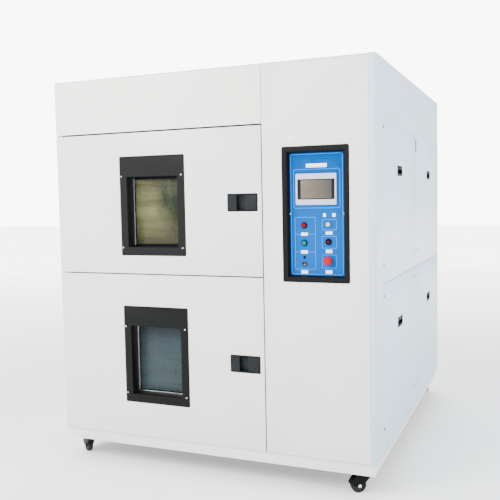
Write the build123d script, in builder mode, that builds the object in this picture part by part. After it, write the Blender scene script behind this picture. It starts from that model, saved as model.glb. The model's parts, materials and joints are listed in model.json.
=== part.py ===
from build123d import *
from math import cos, pi, sin
import os

# Environmental test chamber of the two-zone type: a hot zone over a cold zone, with a basket that
# travels between them. Millimetres. +Z up, front towards -Y, +X to the right of someone facing it.
# The origin is on the floor, under the middle of the whole machine.

# Cabinet
body_w = 1735.0
body_d = 2010.0
body_h = 1940.0
castor_h = 107.0
sheet = 2.0
seam = 3.0
wall_t = 30.0
front_pan_d = 60.0
corner_w = 31.0
corner_r = 27.0
top_bevel = 19.0
top_t = 30.0

# Plinth and base frame
plinth_h = 57.0
plinth_inset = 13.0
plinth_side_inset = 16.0
rail_w = 110.0
deck_t = 3.0

# Doors, from the left edge and from the plinth's lower edge
column_w = 548.0
header_h = 291.0
door_w = body_w - column_w
door_top = body_h - header_h
door_bottom = 62.0
door_split = 921.0
door_t = 60.0
gap_mid = 6.0
gap_head = 8.0
gap_side = 4.0
gasket_t = 12.0
gasket_w = 20.0
gasket_rest = 0.3
plug_d = 80.0
plug_gap = 12.0
pivot_in = 15.0
pin_r = 6.0
pin_l = 20.0
run_clear = 0.05
hinge_t = 4.0
hinge_reach = 38.0

# Windows
win_shift = 12.0
win_x = door_w / 2 - win_shift
win_w = 293.0
win_h = 362.0
win_upper_z = 1062.0
win_lower_z = 285.0
frame_side = 42.5
frame_head = 106.0
frame_foot = 44.0
frame_proud = 3.0
sleeve_t = 4.0
plug_lip = 7.0
pane_t = 5.0
pane_front = 92.0
pane_back = 130.0

# Latches
latch_w = 160.0
latch_in = 24.0
latch_x = door_w - latch_in - latch_w
latch_h = 87.0
latch_upper_z = 1240.0
latch_lower_z = 446.0
latch_proud = 2.0
latch_depth = 28.0
latch_rim = 5.0
latch_plate_w = 44.0
latch_finger_w = 46.0
paddle_t = 6.0
paddle_pin_r = 2.5
paddle_gap = 1.0

# Test zones
cell_w = 700.0
cell_d = 700.0
cold_floor = 201.0
divider_z = 841.0
divider_t = 160.0
ceiling_drop = 98.0
hot_ceiling = door_top - ceiling_drop
cell_back_t = 150.0
jamb_t = 3.0
weld_gap = 0.2
throat_w = 460.0
throat_d = 420.0
throat_gap = 4.0
throat_y = 396.0
baffle_y = 640.0
baffle_t = 3.0
inlet_r = 90.0
baffle_slots = 7
baffle_slot_h = 10.0

# Basket and its lift
plate_t = 60.0
cage_h = 440.0
cage_w = 340.0
cage_d = 380.0
cage_bar = 12.0
tube_r = 15.0
tube_x = 195.0
tube_back = 150.0
tube_flange_r = 32.0
tube_flange_t = 10.0
boss_r = 24.0
boss_h = 18.0
cage_levels = 4
shelf_bars = 9
shelf_rod = 4.0

# Circulation fans
fan_r = 120.0
fan_w = 58.0
fan_gap = 12.0
fan_shaft_r = 10.0
shaft_room = 6.0
blade_count = 10
blade_t = 2.5
motor_r = 72.0
motor_l = 170.0
heater_r = 4.5
cooler_pipe_r = 7.5
fin_count = 8

# Control column, from the left edge and from the plinth's lower edge
cut_in = 118.0
column_cut_x = door_w + cut_in
column_cut_w = 290.0
column_cut_z = 921.0
column_cut_h = 602.0
control_flange = 18.0
control_border = 14.0
control_depth = 22.0
control_proud = 3.0
control_plate_t = 3.0
hmi_in = 44.0
hmi_x = column_cut_x + hmi_in
hmi_z = 1266.5
hmi_w = 199.0
hmi_h = 146.5
hmi_t = 6.0
screen_w = 181.0
screen_h = 95.0
screen_z = 25.5
screen_t = 2.0
button_in = 83.0
button_x = column_cut_x + button_in
red_z = 1171.0
green_z = 1088.0
jack_z = 1020.0
socket_z = 989.0
knob_in = 201.0
knob_x = column_cut_x + knob_in
key_z = 1175.0
buzzer_z = 1094.0
estop_z = 1006.0
collar_r = 15.0
collar_t = 5.0
button_r = 11.0
button_out = 4.0
button_travel = 3.0
key_r = 9.0
key_out = 4.0
estop_r = 21.0
estop_stem_r = 9.0
estop_reach = 32.0
estop_travel = 6.0

# Side and rear access panels
panel_front = 140.0
panel_rear_in = 15.0
panel_back = body_d - panel_rear_in
panel_mid = (panel_front + panel_back) / 2
panel_low = 178.0
panel_split = 885.0
panel_over = 1.0
panel_high = door_top + panel_over
panel_t = 20.0
panel_lip = 20.0
rear_border = 60.0
pull_w = 125.0
pull_h = 46.0
pull_depth = 22.0
pull_proud = 1.5
pull_rim = 9.0
pull_upper_z = 1430.0
pull_lower_z = 641.0
pull_front_in = 428.0
pull_rear_in = 448.0
pull_front_y = panel_front + pull_front_in
pull_rear_y = panel_back - pull_rear_in
louvre_w = 240.0
louvre_h = 9.0
louvre_pitch = 34.0
louvre_rows = 12
louvre_out = 7.0

# Supply gland and water pipes at the back
gland_r = 16.0
gland_hex = 46.0
gland_reach = 26.0
gland_in = 255.0
gland_x = body_w - gland_in
gland_z = 330.0
pipe_r = 16.8
pipe_bore_r = 13.6
pipe_gap = 2.0
pipe_x = 480.0
pipe_pitch = 220.0
pipe_z = 300.0
vessel_r = 95.0
vessel_l = 620.0
vessel_back = 330.0

# Compressors
comp_r = 115.0
comp_h = 420.0
comp_x = 520.0
comp_pitch = 420.0
comp_y = 1330.0
comp_foot = 25.0

# Castors
wheel_r = 37.5
wheel_w = 28.0
wheel_gap = 1.5
tyre_round = 5.0
axle_r = 6.0
axle_head_r = 9.0
fork_t = 4.0
fork_gap = 3.5
swivel_r = 9.0
race_r = 24.0
race_h = 13.0
mount_w = 96.0
mount_d = 74.0
mount_t = 4.0
castor_side = 84.0
castor_front = 92.0
trail = 32.0
turn_front_left = -127.0
turn_front_right = -55.0
turn_rear_left = 200.0
turn_rear_right = 170.0

# Places worked out from the sizes
estop_front = estop_reach - control_depth
front_proud = max(estop_front, frame_proud, control_proud, latch_proud)
rear_proud = gland_reach
left = -body_w / 2
right = body_w / 2
front = -(front_proud + body_d + rear_proud) / 2 + front_proud
back = front + body_d
base = castor_h
top = base + body_h
jamb_y = front + door_t + gasket_t
cell_x = left + win_x
cell_y0 = jamb_y + jamb_t
cell_y1 = cell_y0 + cell_d
block_back = cell_y1 + cell_back_t
block_right = left + door_w - seam
throat_cy = front + throat_y
control_y = front + control_depth
control_cx = left + column_cut_x + column_cut_w / 2
control_cz = base + column_cut_z + column_cut_h / 2
plate_w = throat_w - 2 * throat_gap
plate_d = throat_d - 2 * throat_gap
basket_low = base + divider_z - cage_h - plate_t
lift_travel = cage_h + plate_t
hot_fan_z = base + (divider_z + divider_t + hot_ceiling) / 2
cold_fan_z = base + (cold_floor + divider_z) / 2


def brick(x0, x1, y0, y1, z0, z1, mode=Mode.ADD):
    """A block between two corners, in the part that is being built."""
    with Locations(((x0 + x1) / 2, (y0 + y1) / 2, (z0 + z1) / 2)):
        Box(x1 - x0, y1 - y0, z1 - z0, mode=mode)


def rod(centre, radius, length, axis, mode=Mode.ADD):
    """A round bar from a point, along a direction."""
    with BuildSketch(Plane(origin=centre, z_dir=axis)) as section:
        Circle(radius)
    extrude(section.sketch, amount=length, mode=mode)


def save(piece, name):
    """Label a finished piece and write its file."""
    piece.part.label = name
    export_step(piece.part, "parts/" + name + ".step")


def make_base():
    """Welded frame of wide channels with its deck, and the skirt around it."""
    x0 = left + plinth_side_inset + sheet
    x1 = right - plinth_side_inset - sheet
    y0 = front + plinth_inset + sheet
    y1 = back - plinth_inset - sheet
    with BuildPart() as base_frame:
        brick(x0, x1, y0, y1, base, base + plinth_h - deck_t)
        rooms = 3
        room_w = (x1 - x0 - (rooms + 1) * rail_w) / rooms
        for number in range(rooms):
            room_x = x0 + rail_w + number * (room_w + rail_w)
            brick(room_x, room_x + room_w, y0 + rail_w, (y0 + y1 - rail_w) / 2, base,
                  base + plinth_h - deck_t, Mode.SUBTRACT)
            brick(room_x, room_x + room_w, (y0 + y1 + rail_w) / 2, y1 - rail_w, base,
                  base + plinth_h - deck_t, Mode.SUBTRACT)
        brick(x0, x1, y0, y1, base + plinth_h - deck_t, base + plinth_h)
    save(base_frame, "base_frame")

    with BuildPart() as plinth:
        with BuildSketch(Plane.XY.offset(base)):
            with Locations((0, (y0 + y1) / 2)):
                Rectangle(x1 - x0 + 2 * sheet, y1 - y0 + 2 * sheet)
                Rectangle(x1 - x0, y1 - y0, mode=Mode.SUBTRACT)
        extrude(amount=plinth_h)
    save(plinth, "plinth")


def make_front_pan(name, x0, x1, z0, cutout=None):
    """Folded pan that runs up to a rolled top edge, with a cut-out for the controls if it has one."""
    with BuildPart() as pan:
        brick(x0, x1, front, front + front_pan_d, z0, top)
        rim = pan.edges().filter_by(Axis.X).group_by(Axis.Z)[-1].sort_by(Axis.Y)[0]
        fillet(rim, top_bevel)
        brick(x0 + sheet, x1 - sheet, front + sheet, front + front_pan_d, z0 + sheet,
              top - top_bevel, Mode.SUBTRACT)
        if cutout:
            brick(cutout[0], cutout[1], front, front + sheet, cutout[2], cutout[3],
                  Mode.SUBTRACT)
    save(pan, name)


def make_front():
    """The pan over the doors and the tall one that holds the controls."""
    make_front_pan("header_panel", left, left + door_w - seam / 2,
                   base + door_top + gap_head)
    cut_x = left + column_cut_x
    cut_z = base + column_cut_z
    make_front_pan("control_column", left + door_w + seam / 2, right - corner_w,
                   base + door_bottom,
                   (cut_x, cut_x + column_cut_w, cut_z, cut_z + column_cut_h))


def make_top():
    """Top cover between the side walls, behind the front pans."""
    with BuildPart() as top_cover:
        x0 = left + wall_t
        x1 = right - wall_t
        y0 = front + front_pan_d
        y1 = back - wall_t
        brick(x0, x1, y0, y1, top - top_t, top)
        brick(x0 + sheet, x1 - sheet, y0 + sheet, y1 - sheet, top - top_t, top - sheet,
              Mode.SUBTRACT)
    save(top_cover, "top_cover")


def panel_places():
    """Low and high corners, along Y and Z, of the four access panels of a side."""
    rows = ((panel_low, panel_split), (panel_split, panel_high))
    columns = ((panel_front, panel_mid), (panel_mid, panel_back))
    places = []
    for z0, z1 in rows:
        for y0, y1 in columns:
            places.append((front + y0 + seam / 2, front + y1 - seam / 2,
                           base + z0 + seam / 2, base + z1 - seam / 2))
    return places


def make_side(name, side):
    """A side wall with rebates for its four access panels and rounded corner posts."""
    outer = right if side > 0 else left
    inner = outer - side * wall_t
    y0 = front if side > 0 else jamb_y
    with BuildPart() as wall:
        brick(min(outer, inner), max(outer, inner), y0, back, base + plinth_h, top)
        rear_edges = wall.edges().filter_by(Axis.Z).sort_by(
            lambda edge: (edge.center() - Vector(outer, back, 0)).X ** 2
            + (edge.center() - Vector(outer, back, 0)).Y ** 2)
        fillet(rear_edges[0], corner_r)
        if side > 0:
            front_edges = wall.edges().filter_by(Axis.Z).sort_by(
                lambda edge: (edge.center().X - outer) ** 2 + (edge.center().Y - front) ** 2)
            fillet(front_edges[0], corner_r)
        floor = outer - side * panel_t
        for a0, a1, b0, b1 in panel_places():
            brick(min(outer, floor), max(outer, floor), a0 - seam / 2, a1 + seam / 2,
                  b0 - seam / 2, b1 + seam / 2, Mode.SUBTRACT)
            brick(min(floor, inner), max(floor, inner), a0 + panel_lip, a1 - panel_lip,
                  b0 + panel_lip, b1 - panel_lip, Mode.SUBTRACT)
    save(wall, name)


def pull_places():
    """Centres, along Y and Z, of the four flush pulls of a side."""
    return [(front + y, base + z) for z in (pull_lower_z, pull_upper_z)
            for y in (pull_front_y, pull_rear_y)]


def make_panels(name, side):
    """Four folded access panels, each with a slot for its flush pull."""
    outer = right if side > 0 else left
    floor = outer - side * panel_t
    inside = outer - side * sheet
    with BuildPart() as panels:
        for a0, a1, b0, b1 in panel_places():
            brick(min(outer, floor), max(outer, floor), a0, a1, b0, b1)
            brick(min(inside, floor), max(inside, floor), a0 + sheet, a1 - sheet,
                  b0 + sheet, b1 - sheet, Mode.SUBTRACT)
        for y, z in pull_places():
            brick(min(outer, inside), max(outer, inside), y - pull_w / 2 + pull_rim / 2,
                  y + pull_w / 2 - pull_rim / 2, z - pull_h / 2 + pull_rim / 2,
                  z + pull_h / 2 - pull_rim / 2, Mode.SUBTRACT)
    save(panels, name)


def make_pulls():
    """Flush pulls of both sides: a rimmed cup with a lip over its upper third."""
    with BuildPart() as side_pulls:
        for side, outer in ((1, right), (-1, left)):
            rim_x = outer + side * pull_proud
            deep = outer - side * pull_depth
            for y, z in pull_places():
                plane = Plane(origin=(outer, y, z), x_dir=(0, 1, 0), z_dir=(side, 0, 0))
                with BuildSketch(plane):
                    RectangleRounded(pull_w, pull_h, pull_rim)
                extrude(amount=pull_proud)
                brick(min(outer, deep), max(outer, deep), y - pull_w / 2 + pull_rim / 2,
                      y + pull_w / 2 - pull_rim / 2, z - pull_h / 2 + pull_rim / 2,
                      z + pull_h / 2 - pull_rim / 2)
                floor = deep + side * sheet
                brick(min(floor, rim_x), max(floor, rim_x), y - pull_w / 2 + pull_rim,
                      y + pull_w / 2 - pull_rim, z - pull_h / 2 + pull_rim,
                      z + pull_h / 6, Mode.SUBTRACT)
                shelf = outer - side * pull_rim
                brick(min(floor, shelf), max(floor, shelf), y - pull_w / 2 + pull_rim,
                      y + pull_w / 2 - pull_rim, z - pull_h / 2 + pull_rim,
                      z + pull_h / 2 - pull_rim, Mode.SUBTRACT)
    save(side_pulls, "side_pulls")


def rear_places():
    """Low and high corners, along X and Z, of the two rear panels."""
    x0 = left + wall_t + rear_border + seam / 2
    x1 = right - wall_t - rear_border - seam / 2
    return [(x0, x1, base + z0 + seam / 2, base + z1 - seam / 2)
            for z0, z1 in ((panel_low, panel_split), (panel_split, panel_high))]


def pipe_places():
    """Centres, along X and Z, of the water inlet and outlet."""
    return [(left + pipe_x + number * pipe_pitch, base + pipe_z) for number in (0, 1)]


def make_rear():
    """Rear wall frame with two panels, the lower one with pressed louvres."""
    floor = back - panel_t
    with BuildPart() as rear_frame:
        brick(left + wall_t, right - wall_t, back - wall_t, back, base + plinth_h, top)
        for x0, x1, z0, z1 in rear_places():
            brick(x0 - seam / 2, x1 + seam / 2, floor, back, z0 - seam / 2, z1 + seam / 2,
                  Mode.SUBTRACT)
            brick(x0 + panel_lip, x1 - panel_lip, back - wall_t, floor, z0 + panel_lip,
                  z1 - panel_lip, Mode.SUBTRACT)
    save(rear_frame, "rear_frame")

    with BuildPart() as rear_panels:
        for x0, x1, z0, z1 in rear_places():
            brick(x0, x1, floor, back, z0, z1)
            brick(x0 + sheet, x1 - sheet, floor, back - sheet, z0 + sheet, z1 - sheet,
                  Mode.SUBTRACT)
        rod((left + gland_x, back - sheet, base + gland_z), gland_r, sheet, (0, 1, 0),
            Mode.SUBTRACT)
        for x, z in pipe_places():
            rod((x, back - sheet, z), pipe_r + pipe_gap, sheet, (0, 1, 0), Mode.SUBTRACT)
        x0, x1, z0, z1 = rear_places()[0]
        first_z = (z0 + z1 - (louvre_rows - 1) * louvre_pitch) / 2 + vessel_r
        for column in (-1, 0, 1):
            middle = column * (louvre_w + louvre_pitch)
            for row in range(louvre_rows):
                low = first_z + row * louvre_pitch
                brick(middle - louvre_w / 2, middle + louvre_w / 2, back - sheet, back, low,
                      low + louvre_h, Mode.SUBTRACT)
                with BuildSketch(Plane.YZ.offset(middle - louvre_w / 2)):
                    with BuildLine():
                        Polyline((back, low + 2 * louvre_h), (back, low + louvre_h),
                                 (back + louvre_out - sheet, low),
                                 (back + louvre_out, low + sheet), close=True)
                    make_face()
                extrude(amount=louvre_w)
    save(rear_panels, "rear_panels")

    with BuildPart() as supply_gland:
        centre = (left + gland_x, back, base + gland_z)
        outward = Plane(origin=centre, x_dir=(1, 0, 0), z_dir=(0, 1, 0))
        with BuildSketch(outward):
            RegularPolygon(gland_hex / 2, 6)
        extrude(amount=gland_reach / 2)
        with BuildSketch(outward.offset(gland_reach / 2)):
            Circle(gland_hex / 2 - sheet)
        extrude(amount=gland_reach / 2, taper=12)
        with BuildSketch(outward):
            Circle(gland_r)
        extrude(amount=-panel_t)
        with BuildSketch(outward.offset(-panel_t)):
            Circle(gland_r - 4 * sheet)
        extrude(amount=panel_t + gland_reach, mode=Mode.SUBTRACT)
    save(supply_gland, "supply_gland")


def make_cells():
    """Insulated block with two lined test zones, the front jamb and the throat between."""
    x0 = cell_x - cell_w / 2
    x1 = cell_x + cell_w / 2
    zones = {
        "cold": (base + cold_floor, base + divider_z),
        "hot": (base + divider_z + divider_t, base + hot_ceiling),
    }
    throat = (cell_x - throat_w / 2, cell_x + throat_w / 2,
              throat_cy - throat_d / 2, throat_cy + throat_d / 2)

    with BuildPart() as zone_insulation:
        brick(left + wall_t, block_right, cell_y0, block_back, base + plinth_h,
              base + door_top)
        for z0, z1 in zones.values():
            brick(x0 - sheet, x1 + sheet, cell_y0, cell_y1 + sheet, z0 - sheet, z1 + sheet,
                  Mode.SUBTRACT)
        brick(throat[0] - sheet, throat[1] + sheet, throat[2] - sheet, throat[3] + sheet,
              base + divider_z, base + divider_z + divider_t, Mode.SUBTRACT)
        for z in (hot_fan_z, cold_fan_z):
            rod((cell_x, cell_y1, z), fan_shaft_r + shaft_room, block_back - cell_y1,
                (0, 1, 0), Mode.SUBTRACT)
    save(zone_insulation, "zone_insulation")

    for name, (z0, z1) in zones.items():
        with BuildPart() as liner:
            for low in (z0 - sheet, z1):
                brick(x0 - sheet, x1 + sheet, cell_y0, cell_y1 + sheet, low, low + sheet)
            for low in (x0 - sheet, x1):
                brick(low, low + sheet, cell_y0, cell_y1 + sheet, z0 + weld_gap, z1 - weld_gap)
            brick(x0 + weld_gap, x1 - weld_gap, cell_y1, cell_y1 + sheet, z0 + weld_gap,
                  z1 - weld_gap)
            floor_or_ceiling = z0 - sheet if name == "hot" else z1
            brick(*throat, floor_or_ceiling, floor_or_ceiling + sheet, Mode.SUBTRACT)
            rod((cell_x, cell_y1, (z0 + z1) / 2), fan_shaft_r + shaft_room, sheet, (0, 1, 0),
                Mode.SUBTRACT)
        save(liner, name + "_zone_liner")

    with BuildPart() as front_jamb:
        brick(left + wall_t, block_right, jamb_y, cell_y0, base + plinth_h, base + door_top)
        for z0, z1 in zones.values():
            brick(x0, x1, jamb_y, cell_y0, z0, z1, Mode.SUBTRACT)
    save(front_jamb, "front_jamb")

    with BuildPart() as air_guides:
        sleeve_low = base + divider_z + sheet
        sleeve_high = base + divider_z + divider_t - sheet
        brick(throat[0] - sheet, throat[1] + sheet, throat[2] - sheet, throat[3] + sheet,
              sleeve_low, sleeve_high)
        brick(*throat, sleeve_low, sleeve_high, Mode.SUBTRACT)
        for z0, z1 in zones.values():
            brick(x0, x1, front + baffle_y, front + baffle_y + baffle_t, z0, z1)
            middle = (z0 + z1) / 2
            rod((cell_x, front + baffle_y, middle), inlet_r, baffle_t, (0, 1, 0),
                Mode.SUBTRACT)
            slot_w = cell_w / 8
            for side in (-1, 1):
                for row in range(baffle_slots):
                    slot_x = cell_x + side * (cell_w / 2 - slot_w)
                    slot_z = z0 + (row + 1.5) * (z1 - z0) / (baffle_slots + 2)
                    brick(slot_x - slot_w / 2, slot_x + slot_w / 2, front + baffle_y,
                          front + baffle_y + baffle_t, slot_z - baffle_slot_h / 2,
                          slot_z + baffle_slot_h / 2, Mode.SUBTRACT)
    save(air_guides, "air_guides")


def make_lift():
    """Two smooth cylinder tubes that the basket's plates run on."""
    z0 = base + cold_floor
    z1 = base + hot_ceiling
    tube_y = throat_cy + tube_back
    with BuildPart() as lift_tubes:
        for side in (-1, 1):
            x = cell_x + side * tube_x
            rod((x, tube_y, z0), tube_r, z1 - z0, (0, 0, 1))
            rod((x, tube_y, z0), tube_flange_r, tube_flange_t, (0, 0, 1))
            rod((x, tube_y, z1 - tube_flange_t), tube_flange_r, tube_flange_t, (0, 0, 1))
    save(lift_tubes, "lift_tubes")

    upper = basket_low + plate_t + cage_h
    with BuildPart() as basket_plates:
        for z, boss_z in ((basket_low, basket_low + plate_t + weld_gap), (upper, upper - boss_h)):
            brick(cell_x - plate_w / 2, cell_x + plate_w / 2, throat_cy - plate_d / 2,
                  throat_cy + plate_d / 2, z, z + plate_t)
            for side in (-1, 1):
                rod((cell_x + side * tube_x, tube_y, boss_z), boss_r, boss_h - weld_gap, (0, 0, 1))
        for side in (-1, 1):
            rod((cell_x + side * tube_x, tube_y, basket_low), tube_r + run_clear,
                lift_travel + plate_t, (0, 0, 1), Mode.SUBTRACT)
    save(basket_plates, "basket_plates")


def make_cage():
    """Open cage between the plates: two side grids, the back rails and two shelf grids."""
    x0 = cell_x - cage_w / 2
    x1 = cell_x + cage_w / 2
    y0 = throat_cy - cage_d / 2
    y1 = throat_cy + cage_d / 2
    z0 = basket_low + plate_t
    inner_x0 = x0 + cage_bar + weld_gap
    inner_x1 = x1 - cage_bar - weld_gap
    levels = [z0 + number * (cage_h - cage_bar) / (cage_levels - 1)
              for number in range(cage_levels)]
    with BuildPart() as basket_cage:
        for x in (x0, x1 - cage_bar):
            for y in (y0, y1 - cage_bar):
                brick(x, x + cage_bar, y, y + cage_bar, z0, z0 + cage_h)
            for z in levels:
                brick(x, x + cage_bar, y0, y1, z, z + cage_bar)
        for z in levels:
            brick(inner_x0, inner_x1, y1 - cage_bar, y1, z, z + cage_bar)
        for z in levels[:2]:
            for number in range(shelf_bars):
                middle = inner_x0 + (number + 0.5) * (inner_x1 - inner_x0) / shelf_bars
                brick(middle - shelf_rod / 2, middle + shelf_rod / 2, y0,
                      y1 - cage_bar - weld_gap, z + cage_bar / 2, z + cage_bar)
            brick(inner_x0, inner_x1, y0, y0 + cage_bar / 2, z, z + cage_bar)
    save(basket_cage, "basket_cage")


def make_fan(name, z):
    """Backward-curved fan wheel on its shaft, which runs in the motor behind the wall."""
    plane = Plane(origin=(cell_x, front + baffle_y + baffle_t + fan_gap, z), x_dir=(1, 0, 0),
                  z_dir=(0, 1, 0))
    hub_r = fan_r / 4
    with BuildPart() as wheel:
        with BuildSketch(plane.offset(fan_w - sheet)):
            Circle(fan_r)
        extrude(amount=sheet)
        with BuildSketch(plane):
            Circle(fan_r)
            Circle(fan_r * 0.7, mode=Mode.SUBTRACT)
        extrude(amount=sheet)
        with BuildSketch(plane.offset(fan_w / 2)):
            Circle(hub_r)
        extrude(amount=fan_w / 2)
        with BuildSketch(plane.offset(sheet)):
            with PolarLocations(0, blade_count):
                with BuildLine():
                    ThreePointArc((hub_r * 1.8, 0), (fan_r * 0.72, fan_r * 0.10),
                                  (fan_r * 0.93, fan_r * 0.32))
                    offset(amount=blade_t / 2)
                make_face()
        extrude(amount=fan_w - 2 * sheet)
        with BuildSketch(plane.offset(fan_w)):
            Circle(fan_shaft_r)
        extrude(amount=block_back + motor_l / 2 - plane.origin.Y - fan_w)
    save(wheel, name)


def make_motors():
    """Fan motors bolted to the back of the insulated block."""
    with BuildPart() as fan_motors:
        for z in (hot_fan_z, cold_fan_z):
            rod((cell_x, block_back, z), motor_r + wall_t, wall_t / 3, (0, 1, 0))
            rod((cell_x, block_back, z), motor_r, motor_l, (0, 1, 0))
            rod((cell_x, block_back, z), fan_shaft_r + run_clear, motor_l / 2 + wall_t / 3,
                (0, 1, 0), Mode.SUBTRACT)
            brick(cell_x - wall_t, cell_x + wall_t, block_back + motor_l / 3,
                  block_back + motor_l * 2 / 3, z + motor_r - wall_t / 3,
                  z + motor_r + wall_t)
    save(fan_motors, "fan_motors")


def make_coils():
    """Heater rings round the hot fan and the finned cooler round the cold one."""
    ring_r = fan_r + wall_t
    with BuildPart() as air_coils:
        for number in (0, 1):
            y = cell_y1 - wall_t * (1 + number)
            plane = Plane(origin=(cell_x, y, hot_fan_z), x_dir=(1, 0, 0), z_dir=(0, 0, 1))
            with BuildSketch(plane):
                with Locations((ring_r, 0)):
                    Circle(heater_r)
            revolve(axis=Axis((cell_x, y, hot_fan_z), (0, 1, 0)))
        for angle in (90, 210, 330):
            x = cell_x + ring_r * cos(angle * pi / 180)
            z = hot_fan_z + ring_r * sin(angle * pi / 180)
            rod((x, cell_y1 - 2 * wall_t - heater_r / 2, z), heater_r / 2,
                2 * wall_t + heater_r / 2, (0, 1, 0))
        depth = cell_y1 - front - baffle_y - baffle_t - 2 * wall_t
        low = base + cold_floor
        room = cold_fan_z - fan_r - wall_t - low
        for number in range(fin_count):
            x = cell_x - cell_w / 3 + number * (cell_w * 2 / 3) / (fin_count - 1)
            brick(x - sheet / 2, x + sheet / 2, cell_y1 - wall_t - depth, cell_y1 - wall_t,
                  low, low + room)
        for number in (0, 1, 2):
            z = low + room * (number + 1) / 4
            rod((cell_x - cell_w / 3, cell_y1 - wall_t - depth / 2, z), cooler_pipe_r,
                cell_w * 2 / 3, (1, 0, 0))
    save(air_coils, "air_coils")


def make_plant():
    """Compressors and the water-cooled condenser on the deck behind the zones."""
    deck = base + plinth_h
    with BuildPart() as compressors:
        for number in (0, 1):
            x = left + comp_x + number * comp_pitch
            y = front + comp_y
            rod((x, y, deck + comp_foot), comp_r, comp_h - comp_foot, (0, 0, 1))
            rims = compressors.edges().filter_by(GeomType.CIRCLE).group_by(Axis.Z)[-1]
            fillet(rims.sort_by(Axis.X)[-1], comp_r * 0.45)
            brick(x - comp_r * 1.1, x + comp_r * 1.1, y - comp_r * 0.8, y + comp_r * 0.8,
                  deck + comp_foot - deck_t, deck + comp_foot + deck_t)
            for side_x in (-1, 1):
                for side_y in (-1, 1):
                    rod((x + side_x * comp_r, y + side_y * comp_r * 0.7, deck), comp_foot / 2,
                        comp_foot, (0, 0, 1))
    save(compressors, "compressors")

    with BuildPart() as condenser:
        first, last = pipe_places()
        y = back - vessel_back
        x0 = (first[0] + last[0] - vessel_l) / 2
        z = first[1]
        rod((x0, y, z), vessel_r, vessel_l, (1, 0, 0))
        for end in (x0, x0 + vessel_l - wall_t):
            rod((end, y, z), vessel_r + wall_t / 2, wall_t, (1, 0, 0))
        for leg in (x0 + vessel_l / 5, x0 + vessel_l * 4 / 5):
            brick(leg - wall_t / 2, leg + wall_t / 2, y - vessel_r * 0.8, y + vessel_r * 0.8,
                  deck, z - vessel_r * 0.5)
        for x, pipe_height in pipe_places():
            rod((x, y, pipe_height), pipe_r, back + gland_reach - y, (0, 1, 0))
            rod((x, y + vessel_r + wall_t, pipe_height), pipe_bore_r,
                back + gland_reach - y - vessel_r - wall_t, (0, 1, 0), Mode.SUBTRACT)
    save(condenser, "condenser")


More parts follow.
